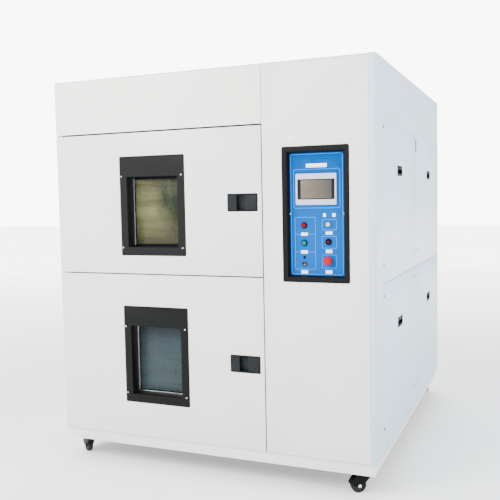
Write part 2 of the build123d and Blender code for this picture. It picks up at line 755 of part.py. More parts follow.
def make_controls():
    """Bezel, face plate, touch screen and the fittings of the control panel."""
    half_w = column_cut_w / 2
    half_h = column_cut_h / 2
    face = Plane(origin=(control_cx, front, control_cz), x_dir=(1, 0, 0), z_dir=(0, -1, 0))
    bare = Plane(origin=(0, control_y, 0), x_dir=(1, 0, 0), z_dir=(0, -1, 0))
    with BuildPart() as control_frame:
        with BuildSketch(face):
            RectangleRounded(column_cut_w + 2 * control_flange, column_cut_h + 2 * control_flange,
                             control_flange / 2)
        extrude(amount=control_proud)
        front_rim = control_frame.faces().sort_by(Axis.Y)[0].edges()
        chamfer(front_rim, control_proud * 0.6)
        with BuildSketch(face):
            Rectangle(column_cut_w, column_cut_h)
        extrude(amount=-(control_depth + control_plate_t))
        mouth = Plane(origin=(control_cx, front - control_proud, control_cz), x_dir=(1, 0, 0),
                      z_dir=(0, 1, 0))
        with BuildSketch(mouth):
            Rectangle(column_cut_w - control_border, column_cut_h - control_border)
        with BuildSketch(mouth.offset(control_depth + control_proud)):
            Rectangle(column_cut_w - 2 * control_border, column_cut_h - 2 * control_border)
        loft(mode=Mode.SUBTRACT)
        with BuildSketch(mouth.offset(control_depth + control_proud)):
            Rectangle(column_cut_w - control_border, column_cut_h - control_border)
        extrude(amount=control_plate_t, mode=Mode.SUBTRACT)
    save(control_frame, "control_frame")

    holes = ((button_x, red_z, button_r), (button_x, green_z, button_r),
             (knob_x, key_z, key_r), (knob_x, estop_z, estop_stem_r))
    with BuildPart() as control_plate:
        brick(control_cx - half_w + control_border / 2, control_cx + half_w - control_border / 2,
              control_y, control_y + control_plate_t, control_cz - half_h + control_border / 2,
              control_cz + half_h - control_border / 2)
        for x, z, radius in holes:
            rod((left + x, control_y, base + z), radius + sheet, control_plate_t, (0, 1, 0),
                Mode.SUBTRACT)
    save(control_plate, "control_plate")

    with BuildPart() as hmi_bezel:
        middle = (left + hmi_x + hmi_w / 2, base + hmi_z + hmi_h / 2)
        with BuildSketch(bare):
            with Locations(middle):
                RectangleRounded(hmi_w, hmi_h, hmi_t)
        extrude(amount=hmi_t)
        chamfer(hmi_bezel.faces().sort_by(Axis.Y)[0].edges(), hmi_t / 4)
        with BuildSketch(bare.offset(hmi_t - screen_t)):
            with Locations((middle[0], base + hmi_z + screen_z + screen_h / 2)):
                Rectangle(screen_w, screen_h)
        extrude(amount=screen_t, mode=Mode.SUBTRACT)
    save(hmi_bezel, "hmi_bezel")

    with BuildPart() as hmi_screen:
        screen_y = control_y - hmi_t + screen_t
        screen_low = base + hmi_z + screen_z
        brick(middle[0] - screen_w / 2, middle[0] + screen_w / 2, screen_y - screen_t / 2,
              screen_y, screen_low, screen_low + screen_h)
    save(hmi_screen, "hmi_screen")

    with BuildPart() as panel_fittings:
        for x, z, radius in holes:
            outer = collar_r if radius < collar_r else radius + sheet
            rod((left + x, control_y, base + z), outer, collar_t, (0, -1, 0))
            rod((left + x, control_y + control_plate_t, base + z), radius + sheet,
                control_plate_t, (0, -1, 0))
            rod((left + x, control_y + control_plate_t, base + z), radius + run_clear,
                control_plate_t + collar_t, (0, -1, 0), Mode.SUBTRACT)
        with BuildSketch(bare):
            with Locations((left + knob_x, base + buzzer_z)):
                Circle(collar_r)
        extrude(amount=2 * collar_t, taper=15)
        rod((left + button_x, control_y, base + jack_z), collar_t, collar_t / 2, (0, -1, 0))
        with BuildSketch(bare):
            with Locations((left + button_x, base + socket_z)):
                RectangleRounded(collar_r * 1.8, collar_r * 1.25, sheet)
        extrude(amount=collar_t / 2)
        with BuildSketch(bare.offset(sheet / 4)):
            with Locations((left + button_x, base + socket_z)):
                Rectangle(collar_r, collar_r / 2)
        extrude(amount=collar_t, mode=Mode.SUBTRACT)
    save(panel_fittings, "panel_fittings")

    for name, z in (("red_button", red_z), ("green_button", green_z)):
        with BuildPart() as button:
            rod((left + button_x, control_y + collar_t, base + z), button_r,
                2 * collar_t + button_out, (0, -1, 0))
            fillet(button.edges().sort_by(Axis.Y)[0], sheet)
        save(button, name)

    with BuildPart() as key_barrel:
        rod((left + knob_x, control_y + collar_t, base + key_z), key_r, 2 * collar_t + key_out,
            (0, -1, 0))
        slot_y = control_y - collar_t - key_out
        brick(left + knob_x - sheet / 2, left + knob_x + sheet / 2, slot_y, slot_y + key_out,
              base + key_z - key_r / 2, base + key_z + key_r / 2, Mode.SUBTRACT)
    save(key_barrel, "key_barrel")

    with BuildPart() as estop_button:
        low = collar_t + estop_travel + sheet / 2
        centre_x = left + knob_x
        centre_z = base + estop_z
        rod((centre_x, control_y - low, centre_z), estop_r, estop_reach - low, (0, -1, 0))
        fillet(estop_button.edges().sort_by(Axis.Y)[0], estop_r * 0.35)
        rod((centre_x, control_y + control_plate_t, centre_z), estop_stem_r,
            low + control_plate_t, (0, -1, 0))
    save(estop_button, "estop_button")


def make_hinges():
    """Pivot brackets in the gaps over, between and under the doors."""
    pivot_x = left + pivot_in
    pivot_y = front + pivot_in
    levels = (
        (base + plinth_h, base + plinth_h + hinge_t, False, True),
        (base + door_split - hinge_t / 2, base + door_split + hinge_t / 2, True, True),
        (base + door_top + (gap_head - hinge_t) / 2, base + door_top + (gap_head + hinge_t) / 2,
         True, False),
    )
    with BuildPart() as hinge_brackets:
        for z0, z1, below, above in levels:
            brick(left + sheet, left + hinge_reach, front + sheet, jamb_y, z0, z1)
            brick(left + sheet, left + hinge_reach, jamb_y - hinge_t, jamb_y,
                  z0 - (hinge_reach if below else 0), z1 + (hinge_reach if above else 0))
            if below:
                rod((pivot_x, pivot_y, z0 - pin_l), pin_r, pin_l, (0, 0, 1))
            if above:
                rod((pivot_x, pivot_y, z1), pin_r, pin_l, (0, 0, 1))
    save(hinge_brackets, "hinge_brackets")


def make_door(name, low, high, window_low, latch_low):
    """One insulated door with its window, seal and flush latch."""
    x0 = left
    x1 = left + door_w - gap_side
    z0 = base + low
    z1 = base + high
    win_x0 = left + win_x - win_w / 2
    win_x1 = win_x0 + win_w
    win_z0 = base + window_low
    win_z1 = win_z0 + win_h
    latch_x0 = left + latch_x
    latch_z0 = base + latch_low
    pocket = (latch_x0 + latch_rim, latch_x0 + latch_w - latch_rim,
              latch_z0 + latch_rim, latch_z0 + latch_h - latch_rim)

    with BuildPart() as skin:
        brick(x0, x1, front, front + door_t - sheet, z0, z1)
        brick(x0 + sheet, x1 - sheet, front + sheet, front + door_t - sheet, z0 + sheet,
              z1 - sheet, Mode.SUBTRACT)
        block = 2 * pivot_in
        brick(x0, x0 + block, front, front + block, z0, z0 + pin_l + 2 * hinge_t)
        brick(x0, x0 + block, front, front + block, z1 - pin_l - 2 * hinge_t, z1)
        rod((left + pivot_in, front + pivot_in, z0), pin_r + run_clear, pin_l + hinge_t,
            (0, 0, 1), Mode.SUBTRACT)
        rod((left + pivot_in, front + pivot_in, z1), pin_r + run_clear, pin_l + hinge_t,
            (0, 0, -1), Mode.SUBTRACT)
        brick(win_x0 - sleeve_t, win_x1 + sleeve_t, front, front + sheet, win_z0 - sleeve_t,
              win_z1 + sleeve_t, Mode.SUBTRACT)
        brick(*pocket[:2], front, front + sheet, *pocket[2:], Mode.SUBTRACT)
    save(skin, name + "_door_skin")

    cell_low = cold_floor if name == "lower" else divider_z + divider_t
    cell_high = divider_z if name == "lower" else hot_ceiling
    plug = (cell_x - cell_w / 2 + plug_gap, cell_x + cell_w / 2 - plug_gap,
            base + cell_low + plug_gap, base + cell_high - plug_gap)
    with BuildPart() as inner:
        rear = front + door_t
        deep = rear + plug_d
        brick(x0, x1, rear - sheet, rear, z0, z1)
        brick(*plug[:2], rear, deep, *plug[2:])
        brick(plug[0] + sheet, plug[1] - sheet, rear - sheet, deep - sheet, plug[2] + sheet,
              plug[3] - sheet, Mode.SUBTRACT)
        brick(win_x0 - sleeve_t, win_x1 + sleeve_t, rear - sheet, deep, win_z0 - sleeve_t,
              win_z1 + sleeve_t)
        brick(win_x0 + plug_lip, win_x1 - plug_lip, rear - sheet, deep, win_z0 + plug_lip,
              win_z1 - plug_lip, Mode.SUBTRACT)
    save(inner, name + "_door_inner")

    with BuildPart() as gasket:
        with BuildSketch(Plane(origin=(0, rear, 0), x_dir=(1, 0, 0), z_dir=(0, -1, 0))):
            with Locations(((plug[0] + plug[1]) / 2, (plug[2] + plug[3]) / 2)):
                RectangleRounded(plug[1] - plug[0] + 4 * plug_gap + 2 * gasket_w,
                                 plug[3] - plug[2] + 4 * plug_gap + 2 * gasket_w, gasket_w)
                RectangleRounded(plug[1] - plug[0] + 4 * plug_gap, plug[3] - plug[2] + 4 * plug_gap,
                                 gasket_w / 2, mode=Mode.SUBTRACT)
        extrude(amount=-(gasket_t - gasket_rest))
    save(gasket, name + "_door_gasket")

    with BuildPart() as window_frame:
        outline = Plane(origin=(0, front, 0), x_dir=(1, 0, 0), z_dir=(0, -1, 0))
        with BuildSketch(outline):
            with Locations(((win_x0 + win_x1) / 2,
                            (win_z0 + win_z1 + frame_head - frame_foot) / 2)):
                RectangleRounded(win_w + 2 * frame_side, win_h + frame_head + frame_foot,
                                 2 * frame_proud)
        extrude(amount=frame_proud)
        chamfer(window_frame.faces().sort_by(Axis.Y)[0].edges(), frame_proud * 0.5)
        brick(win_x0 - sleeve_t, win_x1 + sleeve_t, front, rear - sheet, win_z0 - sleeve_t,
              win_z1 + sleeve_t)
        brick(win_x0, win_x1, front - frame_proud, rear - sheet, win_z0, win_z1, Mode.SUBTRACT)
        lip = window_frame.faces().sort_by(Axis.Y)[0].inner_wires()[0].edges()
        chamfer(lip, frame_proud * 0.5)
    save(window_frame, name + "_window_frame")

    with BuildPart() as glass:
        for depth in (pane_front, pane_back):
            brick(win_x0 + plug_lip, win_x1 - plug_lip, front + depth, front + depth + pane_t,
                  win_z0 + plug_lip, win_z1 - plug_lip)
    save(glass, name + "_window_glass")

    split_x = latch_x0 + latch_rim + latch_plate_w
    paddle_x0 = split_x + latch_finger_w
    axis_x = pocket[1] - 2 * paddle_pin_r
    axis_y = front + paddle_t / 2 - latch_proud / 2
    with BuildPart() as housing:
        with BuildSketch(outline):
            with Locations((latch_x0 + latch_w / 2, latch_z0 + latch_h / 2)):
                RectangleRounded(latch_w, latch_h, latch_rim)
        extrude(amount=latch_proud)
        chamfer(housing.faces().sort_by(Axis.Y)[0].edges(), latch_proud * 0.6)
        brick(*pocket[:2], front, front + latch_depth, *pocket[2:])
        brick(split_x, pocket[1] - sheet, front - latch_proud, front + latch_depth - sheet,
              pocket[2] + sheet, pocket[3] - sheet, Mode.SUBTRACT)
        rod((axis_x, axis_y, pocket[2]), paddle_pin_r + run_clear, pocket[3] - pocket[2],
            (0, 0, 1), Mode.SUBTRACT)
    save(housing, name + "_latch_housing")

    with BuildPart() as paddle:
        with BuildSketch(Plane.XY.offset(pocket[2] + sheet + paddle_gap)):
            with BuildLine():
                nose = Polyline((axis_x, axis_y - paddle_t / 2), (paddle_x0, axis_y - paddle_t / 2),
                                (paddle_x0, axis_y + paddle_t / 2),
                                (paddle_x0 + paddle_t, axis_y + paddle_t * 1.5),
                                (axis_x - 2 * paddle_t, axis_y + paddle_t / 2),
                                (axis_x, axis_y + paddle_t / 2))
                ThreePointArc(nose @ 1, (axis_x + paddle_t / 2, axis_y), nose @ 0)
            make_face()
        extrude(amount=latch_h - 2 * (latch_rim + sheet + paddle_gap))
        rod((axis_x, axis_y, pocket[2]), paddle_pin_r, pocket[3] - pocket[2], (0, 0, 1))
    save(paddle, name + "_latch_paddle")


def castor_places():
    """Swivel centre of each castor and the way its wheel has turned, by name."""
    return {
        "front_left": (left + castor_side, front + castor_front, turn_front_left),
        "front_right": (right - castor_side, front + castor_front, turn_front_right),
        "rear_left": (left + castor_side, back - castor_front, turn_rear_left),
        "rear_right": (right - castor_side, back - castor_front, turn_rear_right),
    }


def make_castors():
    """Swivel castors: bolted plate with its race, hooded fork and wheel."""
    race_z = castor_h - mount_t - race_h
    with BuildPart() as castor_plates:
        for x, y, turn in castor_places().values():
            with BuildSketch(Plane.XY.offset(castor_h - mount_t)):
                with Locations((x, y)):
                    RectangleRounded(mount_w, mount_d, 2 * mount_t)
            extrude(amount=mount_t)
            rod((x, y, race_z), race_r, race_h, (0, 0, 1))
            rod((x, y, race_z), swivel_r + run_clear, race_h, (0, 0, 1), Mode.SUBTRACT)
    save(castor_plates, "castor_plates")

    half_in = wheel_w / 2 + wheel_gap
    half_out = half_in + fork_t
    hood_r = wheel_r + fork_gap + fork_t
    fork_top = race_z - wheel_gap
    for name, (x, y, turn) in castor_places().items():
        axle = Vector(cos(turn * pi / 180), sin(turn * pi / 180), 0)
        ahead = Vector(-axle.Y, axle.X, 0)
        hub = Vector(x, y, wheel_r) - ahead * trail
        with BuildPart() as fork:
            with BuildSketch(Plane(origin=hub - axle * half_out, x_dir=ahead, z_dir=axle)):
                with BuildLine():
                    heel = (-hood_r, wheel_r / 4)
                    crown = (-wheel_r / 4, fork_top - wheel_r)
                    ThreePointArc(heel, (-hood_r * 0.8, hood_r * 0.62), crown)
                    Polyline(crown, (trail + race_r, fork_top - wheel_r),
                             (trail + race_r, fork_top - wheel_r - race_h),
                             (axle_head_r * 1.5, -axle_head_r / 2),
                             (axle_head_r, -axle_head_r), (-axle_head_r, -axle_head_r), heel)
                make_face()
            extrude(amount=2 * half_out)
            rod(hub - axle * half_in, wheel_r + fork_gap, 2 * half_in, axle, Mode.SUBTRACT)
            rod((x, y, fork_top), swivel_r, race_h + wheel_gap, (0, 0, 1))
            for side in (-1, 1):
                rod(hub + axle * side * half_out, axle_head_r, fork_t / 2, axle * side)
            rod(hub - axle * half_out, axle_r, 2 * half_out, axle)
        save(fork, "castor_fork_" + name)

        with BuildPart() as wheel:
            rod(hub - axle * wheel_w / 2, wheel_r, wheel_w, axle)
            fillet(wheel.edges().filter_by(GeomType.CIRCLE), tyre_round)
            hub_half = half_in - wheel_gap / 3
            rod(hub - axle * hub_half, axle_head_r + wheel_gap, 2 * hub_half, axle)
            rod(hub - axle * hub_half, axle_r + run_clear, 2 * hub_half, axle, Mode.SUBTRACT)
        save(wheel, "castor_wheel_" + name)


os.makedirs("parts", exist_ok=True)
make_base()
make_front()
make_top()
make_side("right_side_frame", 1)
make_side("left_side_frame", -1)
make_panels("right_access_panels", 1)
make_panels("left_access_panels", -1)
make_pulls()
make_rear()
make_cells()
make_lift()
make_cage()
make_fan("hot_fan", hot_fan_z)
make_fan("cold_fan", cold_fan_z)
make_motors()
make_coils()
make_plant()
make_controls()
make_hinges()
make_door("upper", door_split + gap_mid / 2, door_top, win_upper_z, latch_upper_z)
make_door("lower", door_bottom, door_split - gap_mid / 2, win_lower_z, latch_lower_z)
make_castors()
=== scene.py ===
import json
import math

import bmesh
import bpy
from mathutils import Matrix, Vector


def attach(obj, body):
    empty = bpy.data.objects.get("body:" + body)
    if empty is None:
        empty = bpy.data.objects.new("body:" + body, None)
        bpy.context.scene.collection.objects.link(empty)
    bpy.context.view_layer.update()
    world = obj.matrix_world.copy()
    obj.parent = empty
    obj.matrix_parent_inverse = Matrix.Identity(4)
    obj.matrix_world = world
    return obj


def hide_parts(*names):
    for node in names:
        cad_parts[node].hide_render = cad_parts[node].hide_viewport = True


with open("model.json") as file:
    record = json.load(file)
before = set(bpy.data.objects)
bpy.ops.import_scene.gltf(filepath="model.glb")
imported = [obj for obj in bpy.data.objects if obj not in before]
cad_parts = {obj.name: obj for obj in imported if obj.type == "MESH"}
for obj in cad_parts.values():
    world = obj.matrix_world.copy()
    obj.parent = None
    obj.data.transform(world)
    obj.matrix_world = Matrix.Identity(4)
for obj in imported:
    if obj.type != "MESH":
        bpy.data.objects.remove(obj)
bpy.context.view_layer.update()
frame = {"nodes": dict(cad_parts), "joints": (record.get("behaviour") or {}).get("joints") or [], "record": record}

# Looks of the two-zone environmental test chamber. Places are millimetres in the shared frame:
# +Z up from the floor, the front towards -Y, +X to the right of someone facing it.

scene = bpy.context.scene
nodes = frame["nodes"]
joints = {j["name"]: j for j in frame["joints"]}
body_of = {n: b for b, names in frame["record"]["behaviour"]["bodies"].items() for n in names}

LEFT, RIGHT = -867.5, 867.5
FRONT, BACK = -1013.0, 997.0
BASE, TOP = 107.0, 2047.0
PLATE_Y = -991.0                # face of the blue sheet
BEZEL_Y = -996.0                # face of the touch screen in its bezel
SCREEN_X, SCREEN_Z = 582.0, 1446.5
COLLAR_X, KNOB_X = 520.5, 638.5  # the two columns of fittings on the blue sheet
RED_Z, GREEN_Z, JACK_Z, SOCKET_Z = 1278, 1195, 1127, 1096
KEY_Z, BUZZER_Z, STOP_Z = 1282, 1201, 1113
DOORS = ("upper", "lower")
WINDOW_X = LEFT + 581.5
WINDOW_LOW = {"upper": 1169.0, "lower": 392.0}
LIP_COVERS = {"upper": (4.0, 358.0), "lower": (358.0,)}   # heights over the window's lower edge
SLEEVE_LIP = FRONT + 58.0       # front edge of the steel sleeve inside a window frame
PANE_BACK = FRONT + 66.0
LATCH_X, LATCH_HALF = LEFT + 1083.0, 43.5
LATCH_FACE, POCKET_X, POCKET_FLOOR = FRONT - 2.0, 215.0, FRONT + 25.6
LATCH_LOW = {"upper": 1347.0, "lower": 553.0}
DOOR_EDGE, COLUMN_EDGE = LEFT + 1183.0, LEFT + 1188.5
DOOR_SPAN = {"lower": (BASE + 62.0, BASE + 918.0), "upper": (BASE + 924.0, BASE + 1649.0)}
HEADER_LOW = BASE + 1657
STRIP_X, STRIP_Y, STRIP_LONG, STRIP_DEEP = LEFT + 612, FRONT + 29.5, 1136, 53
PULL_PLACES = [(y, z) for y in (568.0, 1547.0) for z in (641.0, 1430.0)]
CASTOR_DECK = 103.0             # underside of the castor plates' seat
CREASE, EDGE_ANGLE = 35, 32     # degrees; steeper edges stay sharp or are rounded
CORNERS = ("front_left", "front_right", "rear_left", "rear_right")


# Materials.

def rgb(r, g, b):
    """A colour read on a screen, 0 to 255, as the shader wants it."""
    return tuple(((c / 255 + 0.055) / 1.055) ** 2.4 if c > 10 else c / 255 / 12.92
                 for c in (r, g, b)) + (1.0,)


class Finish:
    """A procedural material under construction."""

    def __init__(self, name, rough=0.5, metal=0.0, **inputs):
        self.material = bpy.data.materials.new(name)
        self.material.use_nodes = True
        self.tree = self.material.node_tree
        self.tree.nodes.clear()
        self.out = self.tree.nodes.new("ShaderNodeOutputMaterial")
        self.shader = self.tree.nodes.new("ShaderNodeBsdfPrincipled")
        self.tree.links.new(self.shader.outputs[0], self.out.inputs[0])
        self.shader.inputs["Metallic"].default_value = metal
        self.shader.inputs["Roughness"].default_value = rough
        for key, value in inputs.items():
            self.shader.inputs[key.replace("_", " ")].default_value = value
        self.coords = self.tree.nodes.new("ShaderNodeTexCoord")

    def link(self, a, b):
        self.tree.links.new(a, b)

    def place(self, stretch):
        mapping = self.tree.nodes.new("ShaderNodeMapping")
        mapping.inputs["Scale"].default_value = stretch
        self.link(self.coords.outputs["Object"], mapping.inputs["Vector"])
        return mapping.outputs[0]

    def noise(self, scale, detail=3.0, stretch=(1, 1, 1), rough=0.5, distort=0.0):
        node = self.tree.nodes.new("ShaderNodeTexNoise")
        node.inputs["Scale"].default_value = scale
        node.inputs["Detail"].default_value = detail
        node.inputs["Roughness"].default_value = rough
        node.inputs["Distortion"].default_value = distort
        self.link(self.place(stretch), node.inputs["Vector"])
        return node.outputs["Fac"]

    def cells(self, scale, stretch=(1, 1, 1), smooth=False):
        node = self.tree.nodes.new("ShaderNodeTexVoronoi")
        node.feature = "SMOOTH_F1" if smooth else "F1"
        node.inputs["Scale"].default_value = scale
        self.link(self.place(stretch), node.inputs["Vector"])
        return node.outputs["Distance"], node.outputs["Color"]

    def span(self, value, low, high, from_low=0.3, from_high=0.7):
        node = self.tree.nodes.new("ShaderNodeMapRange")
        for key, number in (("From Min", from_low), ("From Max", from_high), ("To Min", low),
                            ("To Max", high)):
            node.inputs[key].default_value = number
        self.link(value, node.inputs["Value"])
        return node.outputs["Result"]

    def ramp(self, value, *stops):
        node = self.tree.nodes.new("ShaderNodeValToRGB")
        elements = node.color_ramp.elements
        while len(elements) < len(stops):
            elements.new(0.5)
        for element, (at, colour) in zip(elements, stops):
            element.position = at
            element.color = colour
        self.link(value, node.inputs["Fac"])
        return node.outputs["Color"]

    def blend(self, factor, a, b):
        node = self.tree.nodes.new("ShaderNodeMix")
        node.data_type = "RGBA"
        for key, value in ((0, factor), (6, a), (7, b)):
            if isinstance(value, (int, float, tuple)):
                node.inputs[key].default_value = value
            else:
                self.link(value, node.inputs[key])
        return node.outputs[2]

    def height(self, axis="Z"):
        node = self.tree.nodes.new("ShaderNodeSeparateXYZ")
        self.link(self.coords.outputs["Object"], node.inputs[0])
        return node.outputs[axis]

    def colour(self, value):
        self.link(value, self.shader.inputs["Base Color"])

    def gloss(self, value):
        self.link(value, self.shader.inputs["Roughness"])

    def bump(self, value, strength, distance, upon=None):
        node = self.tree.nodes.new("ShaderNodeBump")
        node.inputs["Strength"].default_value = strength
        node.inputs["Distance"].default_value = distance
        self.link(value, node.inputs["Height"])
        if upon is not None:
            self.link(upon, node.inputs["Normal"])
        self.link(node.outputs[0], self.shader.inputs["Normal"])
        return node.outputs[0]


def shade(colour, factor):
    return tuple(min(1.0, c * factor) for c in colour[:3]) + (1.0,)


def powder_coat(name, colour, rough=0.42, peel=0.25, grain=700, dust=0.03, foot=None,
                shine=0.45):
    """Sprayed and baked paint: fine orange peel, faint clouds in tone and shine, and a shift towards a foot colour
    low down where one is given.
    """
    f = Finish(name, rough, Specular_IOR_Level=shine)
    cloud = f.noise(2.3, 5, rough=0.62)
    speck = f.noise(grain * 1.7, 2)
    tone = f.ramp(cloud, (0.25, shade(colour, 1 - dust)), (0.75, shade(colour, 1 + dust)))
    tone = f.blend(f.span(speck, 0.0, 0.35 * dust), tone, shade(colour, 0.6))
    # Where a foot colour is given, the colour turns towards it lower down, most near the floor.
    if foot:
        low = f.span(f.height(), 0.55, 0.0, 0.1, 1.1)
        tone = f.blend(low, tone, foot)
    f.colour(tone)
    f.gloss(f.span(f.noise(9, 6, rough=0.7), rough - 0.06, rough + 0.07))
    skin = f.bump(f.noise(grain, 2), peel, 0.00012)
    f.bump(f.noise(6, 2), 0.06, 0.002, skin)
    return f.material


def textured_black(name, colour, rough=0.5):
    """Wrinkle powder coat on frames and brackets."""
    f = Finish(name, rough, Specular_IOR_Level=0.2)
    distance, _ = f.cells(520, smooth=True)
    cloud = f.noise(14, 5, rough=0.7)
    f.colour(f.blend(f.span(cloud, 0.0, 0.5), shade(colour, 0.85), shade(colour, 1.25)))
    f.gloss(f.span(cloud, rough - 0.08, rough + 0.1))
    f.bump(distance, 0.25, 0.0002)
    return f.material


def brushed(name, colour, along, rough=0.28, fine=700, metal=1.0):
    """Sheet brushed along one axis."""
    stretch = tuple(0.02 if i == "XYZ".index(along) else 1.0 for i in range(3))
    f = Finish(name, rough, metal, Anisotropic=0.5)
    lines = f.noise(fine, 4, stretch, 0.75)
    wide = f.noise(5, 4, rough=0.6)
    tone = f.ramp(lines, (0.25, shade(colour, 0.84)), (0.8, shade(colour, 1.08)))
    f.colour(f.blend(f.span(wide, 0.0, 0.18), tone, shade(colour, 0.7)))
    f.gloss(f.span(lines, rough - 0.07, rough + 0.12))
    f.bump(lines, 0.12, 0.0001)
    return f.material


def turned_metal(name, colour, rough=0.2):
    """Bright turned steel with faint tool marks."""
    f = Finish(name, rough, 1.0)
    lines = f.noise(900, 3, (1, 1, 1), 0.8, 1.5)
    stain = f.noise(40, 5, rough=0.7)
    f.colour(f.ramp(stain, (0.3, shade(colour, 0.86)), (0.7, shade(colour, 1.04))))
    f.gloss(f.span(lines, rough - 0.06, rough + 0.12))
    f.bump(lines, 0.08, 0.00005)
    return f.material


def zinc(name, colour):
    """Zinc plate with its spangle."""
    f = Finish(name, 0.38, 0.9)
    _, spangle = f.cells(130)
    value = f.tree.nodes.new("ShaderNodeRGBToBW")
    f.link(spangle, value.inputs[0])
    f.colour(f.ramp(value.outputs[0], (0.1, shade(colour, 0.85)), (0.9, shade(colour, 1.08))))
    f.gloss(f.span(value.outputs[0], 0.3, 0.48, 0.0, 1.0))
    f.bump(f.noise(300, 3), 0.08, 0.0001)
    return f.material


def moulded(name, colour, rough=0.45, grain=1400, depth=0.15, **inputs):
    """Moulded plastic or lacquer: fine spark texture with soft handling marks."""
    f = Finish(name, rough, **inputs)
    marks = f.noise(26, 6, rough=0.72)
    f.colour(f.ramp(marks, (0.3, shade(colour, 0.9)), (0.72, shade(colour, 1.08))))
    f.gloss(f.span(marks, rough + 0.08, rough - 0.06))
    f.bump(f.noise(grain, 2), depth, 0.00008)
    return f.material


def rubber(name, colour, rough=0.72):
    """Rubber with bloom and a dusty grain."""
    f = Finish(name, rough, Specular_IOR_Level=0.3)
    bloom = f.noise(60, 6, rough=0.75)
    f.colour(f.ramp(bloom, (0.3, colour), (0.75, shade(colour, 1.7))))
    f.gloss(f.span(bloom, rough - 0.1, rough + 0.1))
    f.bump(f.noise(900, 4), 0.3, 0.0002)
    return f.material


def cast_metal(name, colour, rough=0.5, metal=0.6):
    """Cast or painted machinery with a coarse skin."""
    f = Finish(name, rough, metal)
    skin = f.noise(260, 5, rough=0.7)
    grime = f.noise(9, 6, rough=0.7)
    tone = f.ramp(skin, (0.3, shade(colour, 0.82)), (0.7, shade(colour, 1.12)))
    f.colour(f.blend(f.span(grime, 0.0, 0.3), tone, shade(colour, 0.55)))
    f.gloss(f.span(grime, rough + 0.12, rough - 0.08))
    f.bump(skin, 0.35, 0.0003)
    return f.material


def lens(name, colour):
    """Coloured button lens, cloudy inside and softly frosted."""
    f = Finish(name, 0.3, Specular_IOR_Level=0.04)
    cloud = f.noise(160, 4, rough=0.6)
    f.colour(f.ramp(cloud, (0.3, shade(colour, 0.75)), (0.7, shade(colour, 1.15))))
    f.gloss(f.span(f.noise(400, 3), 0.22, 0.38))
    f.bump(f.noise(700, 2), 0.06, 0.00005)
    return f.material


def coated_glass_painted_reflections(name, left_tint_and_reflection, right_tint_and_reflection, low_tint_and_reflection, low, high, reflection_streaks):
    """Heated window pane: a thin metal coating gives it a faint tint, under painted reflections: one tone at its
    left edge turning to another at its right, a third below given heights, and soft level streaking.
    """
    f = Finish(name, 0.3, Transmission_Weight=0.1, IOR=1.5, Specular_IOR_Level=0.1)
    drift = f.span(f.noise(9, 3, (1, 1, 0.5), 0.5, 0.4), -0.35, 0.35)
    across = f.tree.nodes.new("ShaderNodeMath")
    f.link(f.span(f.height("X"), 0.0, 1.0, -0.43, -0.14), across.inputs[0])
    f.link(drift, across.inputs[1])
    # Painted reflection: the pane turns from the left tone to the right tone across its width, along a wavering
    # border.
    tint_and_reflection = f.blend(across.outputs[0], left_tint_and_reflection, right_tint_and_reflection)
    # Painted reflection: below the given heights the pane takes the low tone.
    level = f.span(f.height(), 1.0, 0.0, low, high)
    tint_and_reflection = f.blend(level, tint_and_reflection, low_tint_and_reflection)
    # Painted reflection: soft level streaking that darkens the pane towards a deeper copy of the right tone.
    fine = f.noise(reflection_streaks, 4, (0.12, 1, 1.6), 0.6)
    f.colour(f.blend(f.span(fine, 0.0, 0.55, 0.42, 0.7), tint_and_reflection, shade(right_tint_and_reflection, 0.55)))
    f.gloss(f.span(f.noise(40, 4), 0.24, 0.36))
    return f.material


def insulation_foam(name):
    """Foam slab with its glass-fibre facing."""
    f = Finish(name, 0.85)
    distance, _ = f.cells(160)
    f.colour(f.ramp(f.noise(50, 6), (0.3, rgb(196, 178, 132)), (0.7, rgb(222, 206, 162))))
    f.gloss(f.span(distance, 0.75, 0.95, 0.0, 0.6))
    f.bump(distance, 0.5, 0.001)
    return f.material


def face_blue(name):
    """Screen-printed face sheet, with painted shade from the proud frame: a little deeper towards its upper edge
    and along its left edge.
    """
    f = Finish(name, 0.5, Specular_IOR_Level=0.0)
    # Painted shade: the deeper blue stands for the frame's shadow on the sheet, growing towards the top and in a
    # band at the left.
    shaded_blue, clear = (0.0, 0.055, 0.23, 1.0), (0.0, 0.082, 0.32, 1.0)
    down = f.span(f.height(), 1.0, 0.0, 1.25, 1.62)
    tone = f.blend(down, shaded_blue, clear)
    side = f.span(f.height("X"), 0.7, 0.0, 0.436, 0.5)
    tone = f.blend(side, tone, shaded_blue)
    f.colour(f.blend(f.span(f.noise(30, 5), 0.0, 0.16), tone, shade(clear, 1.2)))
    f.gloss(f.span(f.noise(60, 4), 0.42, 0.56))
    f.bump(f.noise(1600, 2), 0.1, 0.00006)
    return f.material


def screen_painted_reflection(name):
    """Unlit panel display under its matt overlay, with a painted reflection: a warm grey that cools to the right.
    """
    f = Finish(name, 0.3, Specular_IOR_Level=0.3)
    across = f.span(f.height("X"), 0.0, 1.0, 0.503, 0.66)
    # Painted reflection: warm grey at the left, turning to a darker, cooler grey at the right.
    tone = f.ramp(across, (0.0, rgb(96, 86, 72)), (1.0, rgb(56, 56, 53)))
    f.colour(f.blend(f.span(f.noise(18, 4), 0.0, 0.2), tone, rgb(70, 66, 64)))
    f.gloss(f.span(f.noise(50, 4), 0.3, 0.42))
    return f.material


